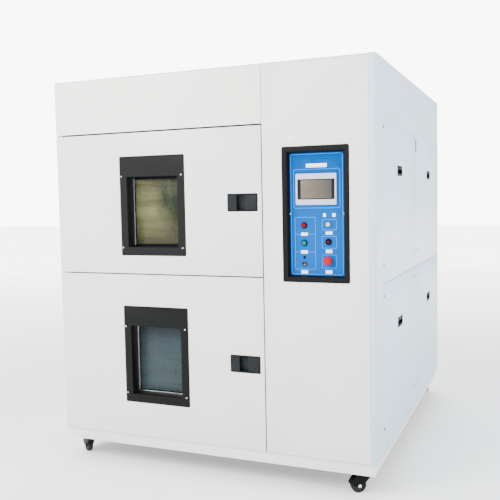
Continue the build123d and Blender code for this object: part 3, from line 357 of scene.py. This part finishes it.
M = {
    "header": powder_coat("header_white", rgb(234, 233, 230)),
    "white": powder_coat("cabinet_white", rgb(218, 219, 218)),
    # Painted shade: the front's white paint made bluer and a little darker for the cooler, dimmer light on the
    # right side; the left side and rear carry it too. Its foot colour makes it darker and bluer still towards the
    # bottom.
    "side": powder_coat("white_painted_side_shade", rgb(188, 212, 226), foot=rgb(180, 206, 224)),
    "plinth": powder_coat("plinth_white", rgb(222, 222, 222)),
    "black": textured_black("frame_black", rgb(16, 16, 17)),
    "window_upper": powder_coat("window_frame_grey", rgb(17, 18, 18), 0.5, 0.2, 900, 0.05,
                                shine=0.1),
    "window_lower": powder_coat("window_frame_dark", rgb(9, 11, 11), 0.5, 0.2, 900, 0.05,
                                shine=0.1),
    "control": powder_coat("control_frame_black", rgb(8, 9, 9), 0.5, 0.25, 900, 0.06, shine=0.1),
    "latch": moulded("latch_black", rgb(20, 24, 27), 0.45, Specular_IOR_Level=0.12),
    "latch_pocket": moulded("latch_pocket_black", rgb(34, 37, 41), 0.6, Specular_IOR_Level=0.1),
    "pull": moulded("pull_black", rgb(6, 8, 11), 0.5, Specular_IOR_Level=0.06),
    "steel_x": brushed("stainless_across", rgb(200, 202, 205), "X"),
    "steel_z": brushed("stainless_upright", rgb(202, 204, 207), "Z"),
    "zinc": zinc("zinc_steel", rgb(176, 181, 186)),
    "bright": turned_metal("machined_steel", rgb(212, 214, 216)),
    "fan": brushed("fan_aluminium", rgb(196, 199, 203), "Y", 0.34),
    "plate": brushed("plate_aluminium", rgb(190, 193, 197), "X", 0.36),
    "cage": turned_metal("cage_steel", rgb(188, 191, 194), 0.26),
    "castor": moulded("castor_black", rgb(10, 12, 14), 0.5, Specular_IOR_Level=0.08),
    "tyre": rubber("tyre_black", rgb(17, 18, 19)),
    "hub": moulded("hub_nylon", rgb(26, 28, 30), 0.4, Specular_IOR_Level=0.25),
    "seal": rubber("seal_silicone", rgb(48, 48, 49), 0.6),
    # Window panes: a faint tint of their own under painted reflections, olive on the upper pane and grey-blue on
    # the lower.
    "glass_upper": coated_glass_painted_reflections("glass_olive_painted_reflections", rgb(96, 96, 66), rgb(26, 36, 24),
                                rgb(62, 60, 38), 1.17, 1.36, 26),
    "glass_lower": coated_glass_painted_reflections("glass_grey_painted_reflections", rgb(34, 43, 48), rgb(42, 54, 62),
                                rgb(52, 64, 70), 0.39, 0.7, 34),
    "blue": face_blue("panel_blue"),
    "outline": moulded("print_light_blue", (0.002, 0.23, 0.92, 1.0), 0.5,
                       Specular_IOR_Level=0.05),
    "print_white": moulded("print_white", rgb(226, 232, 236), 0.4),
    "bezel": moulded("hmi_grey", rgb(172, 176, 198), 0.38),
    "screen_black": moulded("screen_black", rgb(9, 9, 11), 0.25, Specular_IOR_Level=0.2),
    # The touch screen's face carries a painted reflection.
    "screen": screen_painted_reflection("screen_film"),
    "red": lens("red_lens", (0.17, 0.001, 0.01, 1.0)),
    "green": lens("green_lens", (0.0015, 0.14, 0.12, 1.0)),
    "stop": moulded("stop_red", (0.34, 0.0, 0.01, 1.0), 0.4, Specular_IOR_Level=0.05),
    "ring": moulded("ring_black", rgb(6, 8, 15), 0.45, Specular_IOR_Level=0.06),
    "key_ring": moulded("key_ring_blue", (0.06, 0.09, 0.2, 1.0), 0.35),
    "socket": moulded("socket_navy", rgb(3, 16, 50), 0.4),
    "nickel": turned_metal("key_nickel", rgb(214, 220, 228), 0.22),
    "insulation": insulation_foam("foam"),
    "motor": cast_metal("motor_grey", rgb(118, 124, 130)),
    "compressor": cast_metal("compressor_black", rgb(34, 35, 37), 0.42, 0.2),
    "heater": cast_metal("heater_sheath", rgb(122, 112, 100), 0.45, 0.9),
    "nylon": moulded("gland_nylon", rgb(56, 58, 60), 0.5),
    "screw_black": turned_metal("screw_black", rgb(48, 49, 52), 0.35),
}


def paint(names, *keys):
    """Give carried-over CAD nodes their finish."""
    for name in names:
        mesh = nodes[name].data
        mesh.materials.clear()
        for key in keys:
            mesh.materials.append(M[key])
        for face in mesh.polygons:
            face.use_smooth = True
        mesh.set_sharp_from_angle(angle=math.radians(EDGE_ANGLE))


# Mesh tools.

def flat(origin, across, up):
    """A flat frame: turns (u, v, w) in millimetres into a place, w along its outward normal."""
    o, a, b = Vector(origin), Vector(across), Vector(up)
    n = a.cross(b)
    return lambda u, v, w=0.0: (o + a * u + b * v + n * w) * 0.001


def facing(side, at):
    """The upright flat frame of a face of the machine, in the shared frame's own X or Y, and Z."""
    turn = {"front": ((0, at, 0), (1, 0, 0)), "back": ((0, at, 0), (-1, 0, 0)),
            "right": ((at, 0, 0), (0, 1, 0)), "left": ((at, 0, 0), (0, -1, 0))}[side]
    return flat(turn[0], turn[1], (0, 0, 1))


def rounded(cu, cv, w, h, r, steps=4):
    """Outline of a rounded rectangle, as a function of how far it is drawn in."""
    def points(inset=0.0):
        rr = max(r - inset, 0.02)
        a, b = w / 2 - inset - rr, h / 2 - inset - rr
        out = []
        for k, (su, sv) in enumerate(((1, 1), (-1, 1), (-1, -1), (1, -1))):
            for i in range(steps + 1):
                t = math.pi / 2 * (k + i / steps)
                out.append((cu + su * a + rr * math.cos(t), cv + sv * b + rr * math.sin(t)))
        return out
    return points


def disc(cu, cv, r, count=40, turn=0.0):
    """Outline of a circle or a regular polygon."""
    def points(inset=0.0):
        return [(cu + (r - inset) * math.cos(turn + 2 * math.pi * i / count),
                 cv + (r - inset) * math.sin(turn + 2 * math.pi * i / count))
                for i in range(count)]
    return points


def skin(bm, rings, mat=0, ends=(True, True), loop=False):
    """Faces between rings of equal count, capped at either end or joined in a loop."""
    rows = [[bm.verts.new(p) for p in ring] for ring in rings]
    pairs = list(zip(rows, rows[1:])) + ([(rows[-1], rows[0])] if loop else [])
    for a, b in pairs:
        for i in range(len(a)):
            j = (i + 1) % len(a)
            bm.faces.new((a[i], a[j], b[j], b[i])).material_index = mat
    if not loop:
        if ends[0]:
            bm.faces.new(rows[0][::-1]).material_index = mat
        if ends[1]:
            bm.faces.new(rows[-1]).material_index = mat


def block(bm, on, outline, low, high, soft=0.0, mat=0):
    """A solid over an outline between two heights, with its upper rim rounded."""
    rings = [[on(u, v, low) for u, v in outline()]]
    if soft:
        for k in range(4):
            t = math.pi / 2 * k / 3
            rings.append([on(u, v, high - soft * (1 - math.sin(t)))
                          for u, v in outline(soft * (1 - math.cos(t)))])
    else:
        rings.append([on(u, v, high) for u, v in outline()])
    skin(bm, rings, mat)


def band(bm, on, outer, inner, low, high, soft=0.0, mat=0):
    """A closed border between two outlines of equal count."""
    rings = [(outer, 0, low), (outer, 0, high - soft)]
    rings += [(outer, soft, high), (inner, -soft, high)] if soft else [(inner, 0, high)]
    rings += [(inner, 0, high - soft)] if soft else []
    rings += [(inner, 0, low)]
    skin(bm, [[on(u, v, w) for u, v in shape(inset)] for shape, inset, w in rings], mat,
         loop=True)


def lathe(bm, on, cu, cv, profile, mat=0, count=48, loop=False):
    """Turn a row of (radius, height) pairs about a flat frame's normal."""
    skin(bm, [[on(u, v, w) for u, v in disc(cu, cv, r, count)()] for r, w in profile], mat,
         loop=loop)


def pan_screw(bm, on, u, v, r, rise):
    """Low pan-head screw with a hexagon socket."""
    lathe(bm, on, u, v, ((r, 0), (r, rise * 0.35), (r * 0.93, rise * 0.72),
                         (r * 0.74, rise * 0.94), (r * 0.5, rise)), count=24)
    hole = disc(u, v, r * 0.42, 6, 0.3)()
    rim = disc(u, v, r * 0.5, 6, 0.3)()
    lip = rise + 0.02
    skin(bm, [[on(a, b, lip) for a, b in rim], [on(a, b, lip) for a, b in hole],
              [on(a, b, rise * 0.4) for a, b in hole]], ends=(False, True))


def piece(name, body, keys, build, stands_for=()):
    """Build one mesh and let it ride its body."""
    bm = bmesh.new()
    build(bm)
    bmesh.ops.recalc_face_normals(bm, faces=bm.faces)
    mesh = bpy.data.meshes.new(name)
    bm.to_mesh(mesh)
    bm.free()
    for key in keys:
        mesh.materials.append(M[key])
    for face in mesh.polygons:
        face.use_smooth = True
    mesh.set_sharp_from_angle(angle=math.radians(CREASE))
    thing = bpy.data.objects.new(name, mesh)
    scene.collection.objects.link(thing)
    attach(thing, body)
    if stands_for:
        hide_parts(*stands_for)
    return thing


def soften(node, key, width, segments=2):
    """A copy of a sheet or moulded CAD node with its edges rounded, standing for it."""
    bm = bmesh.new()
    bm.from_mesh(nodes[node].data)
    bmesh.ops.remove_doubles(bm, verts=bm.verts, dist=1e-6)
    bmesh.ops.dissolve_limit(bm, angle_limit=math.radians(0.6), verts=bm.verts, edges=bm.edges)
    mesh = bpy.data.meshes.new(node + "_soft")
    bm.to_mesh(mesh)
    bm.free()
    mesh.materials.clear()
    mesh.materials.append(M[key])
    for face in mesh.polygons:
        face.use_smooth = True
        face.material_index = 0
    thing = bpy.data.objects.new(node + "_soft", mesh)
    scene.collection.objects.link(thing)
    rim = thing.modifiers.new("rim", "BEVEL")
    rim.width = width * 0.001
    rim.segments = segments
    rim.limit_method = "ANGLE"
    rim.angle_limit = math.radians(EDGE_ANGLE)
    rim.harden_normals = True
    rim.use_clamp_overlap = True
    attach(thing, body_of[node])
    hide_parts(node)
    return thing


# Cabinet.

for node, key, width in (
        ("header_panel", "header", 1.2), ("control_column", "white", 1.2),
        ("top_cover", "white", 1.0),
        ("right_side_frame", "side", 1.2), ("left_side_frame", "side", 1.2),
        ("right_access_panels", "side", 0.9), ("left_access_panels", "side", 0.9),
        ("rear_frame", "side", 1.0), ("rear_panels", "side", 0.6), ("plinth", "plinth", 0.9),
        ("upper_door_skin", "white", 1.0), ("lower_door_skin", "white", 1.0),
        ("front_jamb", "steel_z", 0.8), ("hot_zone_liner", "steel_x", 0.9),
        ("cold_zone_liner", "steel_x", 0.9), ("upper_door_inner", "steel_x", 0.9),
        ("lower_door_inner", "steel_x", 0.9), ("basket_plates", "plate", 1.5),
        ("air_guides", "steel_z", 0.6), ("side_pulls", "pull", 0.5),
        ("upper_latch_housing", "latch", 0.5), ("lower_latch_housing", "latch", 0.5),
        ("upper_latch_paddle", "latch", 0.5), ("lower_latch_paddle", "latch", 0.5),
        ("upper_window_frame", "window_upper", 0.4), ("lower_window_frame", "window_lower", 0.4),
        ("control_frame", "control", 0.4), ("hmi_bezel", "bezel", 0.4),
        ("hinge_brackets", "zinc", 0.4), ("castor_plates", "castor", 0.6)):
    soften(node, key, width)
for corner in CORNERS:
    soften("castor_fork_" + corner, "castor", 0.7, 3)

paint(("base_frame",), "black")
paint(("zone_insulation",), "insulation")
paint(("lift_tubes",), "bright")
paint(("basket_cage",), "cage")
paint(("hot_fan", "cold_fan"), "fan")
paint(("air_coils",), "heater")
paint(("fan_motors", "condenser"), "motor")
paint(("compressors",), "compressor")
paint(("upper_door_gasket", "lower_door_gasket"), "seal")
paint(("upper_window_glass",), "glass_upper")
paint(("lower_window_glass",), "glass_lower")
paint(("control_plate",), "blue")
paint(("hmi_screen",), "screen_black")
paint(("supply_gland",), "nylon")


# Screws.

def window_screws(low, high):
    """Bright screws level with the upper and lower edges of a window."""
    def build(bm):
        on = facing("front", FRONT - 3.0)
        for x in (LEFT + 404, LEFT + 753):
            for z in (low, high):
                pan_screw(bm, on, x, z, 3.9, 2.0)
    return build


piece("upper_window_screws", "upper_door", ("bright",), window_screws(1166, 1535))
piece("lower_window_screws", "lower_door", ("bright",), window_screws(397, 750))


def panel_screws(bm):
    """Black screws at the corners of the access panels."""
    for side, outer, way in (("right", RIGHT, 1), ("left", LEFT, -1)):
        on = facing(side, outer)
        for y in (161, 1004, 1150, 1972):
            for z in (186, 828, 978, 1624):
                pan_screw(bm, on, way * (FRONT + y), BASE + z, 9.0, 1.4)


piece("side_panel_screws", "cabinet", ("pull",), panel_screws)


def rear_screws(bm):
    """Screws round the two rear panels."""
    on = facing("back", BACK)
    for x in (-750, -375, 0, 375, 750):
        for z in (205, 860, 920, 1630):
            pan_screw(bm, on, -x, BASE + z, 5.0, 2.2)


piece("rear_panel_screws", "cabinet", ("screw_black",), rear_screws)


# Control panel.

def print_lines(bm):
    """Printed outlines on the blue face: its border, the screen's box and the groups."""
    on = facing("front", PLATE_Y)

    def box(x0, x1, z0, z1, r, line=2.1):
        cu, cv, w, h = (x0 + x1) / 2, (z0 + z1) / 2, x1 - x0, z1 - z0
        inner = rounded(cu, cv, w - 2 * line, h - 2 * line, max(r - line, 0.5), 6)
        band(bm, on, rounded(cu, cv, w, h, r, 6), inner, 0.0, 0.12)

    box(456.0, 709.0, 1045.5, 1611.5, 12.0, 2.4)
    box(470.0, 696.0, 1358.0, 1541.0, 8.0)
    box(474.0, 576.0, 1070.0, 1317.0, 6.0)
    box(608.0, 677.5, 1255.0, 1306.0, 4.0)
    box(606.5, 678.0, 1170.0, 1227.5, 4.0)
    box(606.0, 677.5, 1077.5, 1140.0, 4.0)
    for z in (1236.2, 1152.4):
        for x0, x1 in ((475.0, 502.0), (541.0, 575.0)):
            block(bm, on, rounded((x0 + x1) / 2, z, x1 - x0, 2.1, 0.4, 2), 0.0, 0.12)


piece("panel_outlines", "cabinet", ("outline",), print_lines)


def legend_plates(bm):
    """Blank legend plates over and under the fittings."""
    on = facing("front", PLATE_Y)
    for x0, x1, z0, z1 in ((531, 635, 1547, 1567), (503.5, 539.5, 1228.5, 1245),
                           (502.5, 538.5, 1143.5, 1161.5), (502, 538, 1048, 1066.5),
                           (612, 629, 1316, 1335), (656, 675, 1316, 1335),
                           (624, 659, 1234, 1250), (623.5, 657.5, 1147, 1165),
                           (621.5, 657, 1050, 1069)):
        block(bm, on, rounded((x0 + x1) / 2, (z0 + z1) / 2, x1 - x0 - 3, z1 - z0 - 2, 1.2, 3),
              0.0, 0.6, 0.2)
    for x in (451.5, 714.0):
        block(bm, on, rounded(x, 1332.5, 4.0, 9.0, 0.8, 2), 0.0, 0.3)


piece("blank_legends", "cabinet", ("print_white",), legend_plates)


def display(bm):
    """Visible area of the touch screen, set in its dark surround."""
    on = facing("front", BEZEL_Y)
    block(bm, on, rounded(SCREEN_X, SCREEN_Z, 150, 86, 0.6, 2), 0.0, 0.35, 0.1)


piece("screen_area", "cabinet", ("screen",), display)


def fittings(bm):
    """Collars, key ring, buzzer, jack and socket of the panel."""
    on = facing("front", PLATE_Y)
    for z in (RED_Z, GREEN_Z):
        lathe(bm, on, COLLAR_X, z, ((15.0, 0), (15.0, 2.2), (14.2, 3.4), (13.4, 5.0), (12.0, 5.0),
                                    (11.4, 4.2), (11.4, 0.0)), 0, 56, True)
    lathe(bm, on, KNOB_X, KEY_Z, ((14.6, 0), (14.6, 2.0), (13.4, 4.2), (12.2, 5.0), (10.2, 5.0),
                                 (9.4, 4.4), (9.4, 0.0)), 5, 56, True)
    lathe(bm, on, KNOB_X, STOP_Z, ((15.0, 0), (15.0, 4.2), (14.2, 5.0), (10.0, 5.0), (9.4, 4.4),
                                   (9.4, 0.0)), 0, 48, True)
    lathe(bm, on, KNOB_X, BUZZER_Z, ((15.0, 0), (15.0, 3.0), (13.6, 7.2), (12.6, 8.2),
                                     (10.0, 8.6), (8.6, 7.6), (4.8, 7.2)), 0, 48)
    lathe(bm, on, KNOB_X, BUZZER_Z, ((4.6, 6.8), (4.6, 8.6), (3.9, 9.4), (2.0, 9.8)), 2, 32)
    for k in range(8):
        t = 2 * math.pi * (k + 0.5) / 8
        lathe(bm, on, KNOB_X + 11.2 * math.cos(t), BUZZER_Z + 11.2 * math.sin(t),
              ((0.9, 7.2), (0.9, 8.7), (0.7, 8.8)), 2, 10)
    lathe(bm, on, COLLAR_X, JACK_Z, ((6.2, 0), (6.2, 1.8), (5.4, 2.5), (3.0, 2.5), (2.6, 0.9),
                                     (1.0, 0.9)), 0, 32)
    band(bm, on, rounded(COLLAR_X, SOCKET_Z, 27, 18.7, 2, 4),
         rounded(COLLAR_X, SOCKET_Z, 17, 9.5, 0.8, 4), 0, 2.5, 0.5, 3)
    block(bm, on, rounded(COLLAR_X, SOCKET_Z, 17.4, 9.9, 0.8, 4), 0.0, 0.6, 0, 0)
    block(bm, on, rounded(COLLAR_X, SOCKET_Z - 2.4, 7.0, 1.8, 0.3, 2), 0.6, 1.5, 0.2, 4)


piece("panel_fittings_fine", "cabinet", ("ring", "nickel", "red", "socket", "print_white",
                                         "key_ring"), fittings, ("panel_fittings",))


def lens_cap(z):
    """Domed cap of a push button."""
    def build(bm):
        on = facing("front", PLATE_Y)
        lathe(bm, on, COLLAR_X, z, ((10.9, -5.0), (10.9, 6.4), (10.5, 7.6), (9.6, 8.4), (8.2, 8.8),
                                    (7.8, 8.55), (5.2, 8.9), (2.4, 9.0)), 0, 56)
    return build


piece("red_button_fine", "red_push", ("red",), lens_cap(RED_Z), ("red_button",))
piece("green_button_fine", "green_push", ("green",), lens_cap(GREEN_Z), ("green_button",))


def key_front(bm):
    """Lock barrel with its key slot."""
    on = facing("front", PLATE_Y)
    slot = rounded(KNOB_X, KEY_Z, 3.4, 11.0, 1.6, 7)
    rows = [disc(KNOB_X, KEY_Z, r, 32)() for r in (8.9, 8.9, 8.4)]
    heights = (-5.0, 8.2, 8.9)
    rings = [[on(u, v, w) for u, v in row] for row, w in zip(rows, heights)]
    mouth = slot()
    turned = mouth[-4:] + mouth[:-4]
    rings.append([on(u, v, 8.9) for u, v in turned])
    rings.append([on(u, v, 5.4) for u, v in turned])
    skin(bm, rings, 0)
    block(bm, on, rounded(KNOB_X, KEY_Z, 3.2, 10.8, 1.5, 4), 5.4, 5.6, 0, 1)


piece("key_barrel_fine", "key", ("nickel", "ring"), key_front, ("key_barrel",))


def stop_head(bm):
    """Mushroom head of the emergency stop on its stem."""
    on = facing("front", PLATE_Y)
    profile = ((8.9, -3.0), (8.9, 12.2), (13.5, 12.4), (19.0, 13.0), (20.6, 14.4), (21.0, 16.2),
               (20.9, 20.5), (20.2, 24.4), (18.4, 27.6), (15.4, 30.0), (11.0, 31.4), (5.5, 32.0),
               (2.0, 32.0))
    lathe(bm, on, KNOB_X, STOP_Z, profile, 0, 64)


piece("estop_fine", "emergency_stop", ("stop",), stop_head, ("estop_button",))


def bare_plate(bm):
    """Blank plate over the control frame."""
    on = facing("front", FRONT)
    centre = (LEFT + 1337, BASE + 1580)
    block(bm, on, rounded(*centre, 46, 32, 2.0, 4), 0, 0.2, 0, 1)
    block(bm, on, rounded(*centre, 43.6, 29.6, 1.5, 4), 0.2, 0.8, 0.3)


piece("blank_plate", "cabinet", ("header", "zinc"), bare_plate)


# Latches, panes, seals and side pulls.

def pocket_liner(door):
    """Dark lining of the finger pocket."""
    def build(bm):
        on = facing("front", POCKET_FLOOR)
        block(bm, on, rounded(POCKET_X, LATCH_LOW[door] + LATCH_HALF, 72, 72, 2, 3), 0.0, 0.5)
    return build


for door in DOORS:
    piece(door + "_pocket_lining", door + "_door", ("latch_pocket",), pocket_liner(door))


def latch_rim(door):
    """Dark raised border of a latch plate."""
    def build(bm):
        on = facing("front", LATCH_FACE)
        centre = (LATCH_X, LATCH_LOW[door] + LATCH_HALF)
        band(bm, on, rounded(*centre, 158.0, 85.0, 4.5), rounded(*centre, 151.0, 77.0, 2.0),
             -0.2, 0.5, 0.2)
    return build


for door in DOORS:
    piece(door + "_latch_rim", door + "_door", ("ring",), latch_rim(door))


def outer_pane(door):
    """Outer pane in its dark bead, behind the sleeve's lip, with the dark strips on the lip."""
    low_edge = WINDOW_LOW[door]

    def build(bm):
        lip = facing("front", SLEEVE_LIP)
        for height in LIP_COVERS[door]:
            strip = rounded(WINDOW_X, low_edge + height, 292.0, 7.6, 0.5, 2)
            block(bm, lip, strip, 0.0, 1.0, 0.3, 1)
        on = facing("front", PANE_BACK)
        centre = (WINDOW_X, low_edge + 181.0)
        block(bm, on, rounded(*centre, 277.0, 346.0, 2.0), 0.0, 4.0, 0.3)
        band(bm, on, rounded(*centre, 278.4, 347.4, 2.0), rounded(*centre, 266.0, 335.0, 3.0),
             4.0, 6.5, 0.6, 1)
    return build


for door in DOORS:
    piece(door + "_outer_pane", door + "_door", ("glass_" + door, "ring"), outer_pane(door))


def looking_up(z):
    """The level flat frame at a height, with its normal upwards and v towards the back."""
    return flat((0, 0, z), (1, 0, 0), (0, 1, 0))


def looking_down(z):
    """The level flat frame at a height, with its normal downwards and v towards the front."""
    return flat((0, 0, z), (1, 0, 0), (0, -1, 0))


def gap_linings(door):
    """Dark sealing strips on the edges of a door that face its neighbours."""
    low, high = DOOR_SPAN[door]

    def build(bm):
        edge = facing("right", DOOR_EDGE)
        block(bm, edge, rounded(STRIP_Y, (low + high) / 2, STRIP_DEEP, high - low - 5, 1, 2),
              0.0, 0.5)
        block(bm, looking_up(high), rounded(STRIP_X, STRIP_Y, STRIP_LONG, STRIP_DEEP, 1, 2),
              0.0, 0.8 if door == "upper" else 0.5)
        if door == "upper":
            block(bm, looking_down(low), rounded(STRIP_X, -STRIP_Y, STRIP_LONG, STRIP_DEEP, 1, 2),
                  0.0, 0.5)
    return build


for door in DOORS:
    piece(door + "_door_edge_seals", door + "_door", ("seal",), gap_linings(door))


def column_seal(bm):
    """Dark sealing strips on the edges of the control column and the header beside the doors."""
    block(bm, looking_down(HEADER_LOW), rounded(STRIP_X, -STRIP_Y, STRIP_LONG, STRIP_DEEP, 1, 2),
          0.0, 0.8)
    block(bm, facing("left", COLUMN_EDGE), rounded(-STRIP_Y, BASE + 856, STRIP_DEEP, 1584, 1, 2),
          0.0, 0.5)


piece("column_edge_seal", "cabinet", ("seal",), column_seal)


def pull_bezels(bm):
    """Dark borders round the flush pulls, and the clip at the top of each centre seam."""
    for side, outer, way in (("right", RIGHT, 1), ("left", LEFT, -1)):
        on = facing(side, outer)
        for y, z in PULL_PLACES:
            centre = (way * (FRONT + y), BASE + z)
            band(bm, on, rounded(*centre, 129.0, 53.0, 9.0, 6),
                 rounded(*centre, 108.0, 30.0, 3.0, 6), 0.2, 1.45, 0.4)
        clip = rounded(way * (FRONT + 1067.5), BASE + 1588, 20.0, 70.0, 3.0, 3)
        block(bm, on, clip, 0.0, 1.2, 0.4)


piece("pull_bezels", "cabinet", ("pull",), pull_bezels)


# Castors.

def axle_frame(corner):
    """The flat frame in the middle of a castor's wheel, with its normal along the axle."""
    hub = Vector(joints[corner + "_roll"]["pos_m"]) * 1000
    axle = Vector(joints[corner + "_roll"]["axis"]).normalized()
    up = Vector((0, 0, 1))
    return flat(hub, up.cross(axle).normalized(), up)


def castor_wheel(corner):
    """Tyre, disc and hub of one castor."""
    on = axle_frame(corner)

    def build(bm):
        half = 14.0
        tyre = [(30.0, -half + 1.6), (31.5, -half), (33.6, -half), (36.0, -half + 1.8),
                (37.3, -half + 5.0), (37.5, -half + 9.0), (37.5, half - 9.0), (37.3, half - 5.0),
                (36.0, half - 1.8), (33.6, half), (31.5, half), (30.0, half - 1.6)]
        lathe(bm, on, 0, 0, tyre, 0, 72, True)
        rim = [(30.4, -half + 2.0), (28.6, -half + 2.0), (27.2, -half + 4.5), (14.5, -half + 6.5),
               (12.6, -half + 3.0), (10.5, -half - 0.9), (6.1, -half - 0.9), (6.1, half + 0.9),
               (10.5, half + 0.9), (12.6, half - 3.0), (14.5, half - 6.5), (27.2, half - 4.5),
               (28.6, half - 2.0), (30.4, half - 2.0)]
        lathe(bm, on, 0, 0, rim, 1, 60, True)
        for k in range(6):
            t = math.pi * k / 3
            for sign in (-1, 1):
                spoke = disc(20.8 * math.cos(t), 20.8 * math.sin(t), 2.2, 12)
                low, high = sorted((sign * (half - 9.0), sign * (half - 4.2)))
                block(bm, on, spoke, low, high, 0, 1)
    return build


def castor_bolts(corner):
    """Axle nut and end of one castor's fork."""
    on = axle_frame(corner)

    def build(bm):
        for sign in (-1, 1):
            for outline, near, far in ((disc(0, 0, 8.4, 40), 21.4, 22.4),
                                       (disc(0, 0, 7.6, 6, 0.4), 22.4, 26.4),
                                       (disc(0, 0, 3.9, 24), 26.4, 27.6)):
                block(bm, on, outline, *sorted((sign * near, sign * far)))
    return build


for corner in CORNERS:
    piece("wheel_" + corner, corner + "_wheel", ("tyre", "hub"), castor_wheel(corner),
          ("castor_wheel_" + corner,))
    piece("castor_nuts_" + corner, corner + "_castor", ("bright",), castor_bolts(corner))


def mount_bolts(bm):
    """Hexagon bolts that hold the castor plates under the base."""
    on = looking_down(CASTOR_DECK)
    for corner in CORNERS:
        x, y = (c * 1000 for c in joints[corner + "_swivel"]["pos_m"][:2])
        for du in (-38, 38):
            for dv in (-27, 27):
                block(bm, on, disc(x + du, -y + dv, 5.6, 6, 0.5), 0.0, 3.6, 0.5)


piece("castor_plate_bolts", "cabinet", ("zinc",), mount_bolts)


# Floor, light and camera.

def add_object(name, data):
    thing = bpy.data.objects.new(name, data)
    scene.collection.objects.link(thing)
    return thing


def floor_material():
    """Pale studio floor with a painted glow: it emits light that grows far away, as a sweep lit from behind
    brightens.
    """
    f = Finish("floor_pale", 0.6)
    f.colour(f.ramp(f.noise(0.7, 4), (0.3, rgb(246, 246, 246)), (0.7, rgb(250, 250, 250))))
    away = f.tree.nodes.new("ShaderNodeVectorMath")
    away.operation = "LENGTH"
    f.link(f.coords.outputs["Object"], away.inputs[0])
    # Painted glow: the floor emits white light, faint near the machine and strongest far away.
    f.shader.inputs["Emission Color"].default_value = (1.0, 1.0, 1.0, 1.0)
    glow = f.span(away.outputs["Value"], 0.5, 4.6, 2.2, 11.0)
    f.link(glow, f.shader.inputs["Emission Strength"])
    f.bump(f.noise(40, 4), 0.03, 0.001)
    return f.material


floor_mesh = bpy.data.meshes.new("floor")
reach = 30.0
floor_mesh.from_pydata([(-reach, -reach, 0), (reach, -reach, 0), (reach, reach, 0),
                        (-reach, reach, 0)], [], [(0, 1, 2, 3)])
floor_mesh.materials.append(floor_material())
ground = add_object("floor", floor_mesh)


def lamp(name, place, target, size, power, tint=(1, 1, 1)):
    data = bpy.data.lights.new(name, "AREA")
    data.shape = "RECTANGLE"
    data.size, data.size_y = size
    data.energy = power
    data.color = tint
    thing = add_object(name, data)
    thing.location = place
    thing.rotation_euler = (Vector(target) - Vector(place)).to_track_quat("-Z", "Y").to_euler()
    return thing


key_light = lamp("key", (-2.6, -5.2, 4.6), (0, 0, 1.1), (3.2, 3.2), 690, (1.0, 0.97, 0.92))
side_light = lamp("side", (5.4, -1.4, 3.6), (0.4, 0, 1.1), (3.0, 3.0), 210, (0.88, 0.95, 1.0))
back_light = lamp("back", (-1.5, 5.6, 4.4), (0, 0, 1.2), (3.0, 3.0), 300)

world = bpy.data.worlds.new("studio")
world.use_nodes = True
sky = world.node_tree.nodes["Background"]
sky.inputs["Color"].default_value = (1.0, 1.0, 1.0, 1.0)
seen = world.node_tree.nodes.new("ShaderNodeLightPath")
level = world.node_tree.nodes.new("ShaderNodeMapRange")
level.inputs["To Min"].default_value = 1.6
level.inputs["To Max"].default_value = 9.0
world.node_tree.links.new(seen.outputs["Is Camera Ray"], level.inputs["Value"])
world.node_tree.links.new(level.outputs["Result"], sky.inputs["Strength"])
scene.world = world

yaw, pitch, roll = -0.3944, 0.0729, 0.019
ahead = Vector((math.sin(yaw) * math.cos(pitch), math.cos(yaw) * math.cos(pitch),
                -math.sin(pitch)))
right = Vector((math.cos(yaw), -math.sin(yaw), 0))
down = ahead.cross(right)
turned_right = right * math.cos(roll) + down * math.sin(roll)
turned_down = down * math.cos(roll) - right * math.sin(roll)
camera_data = bpy.data.cameras.new("camera")
camera_data.lens = 50.79
camera_data.sensor_width = 36.0
camera_data.clip_start = 0.05
camera_data.clip_end = 200.0
camera = add_object("camera", camera_data)
axes = Matrix((turned_right, -turned_down, -ahead)).transposed().to_4x4()
camera.matrix_world = Matrix.Translation((1.5596, -4.1581, 1.4091)) @ axes
scene.camera = camera
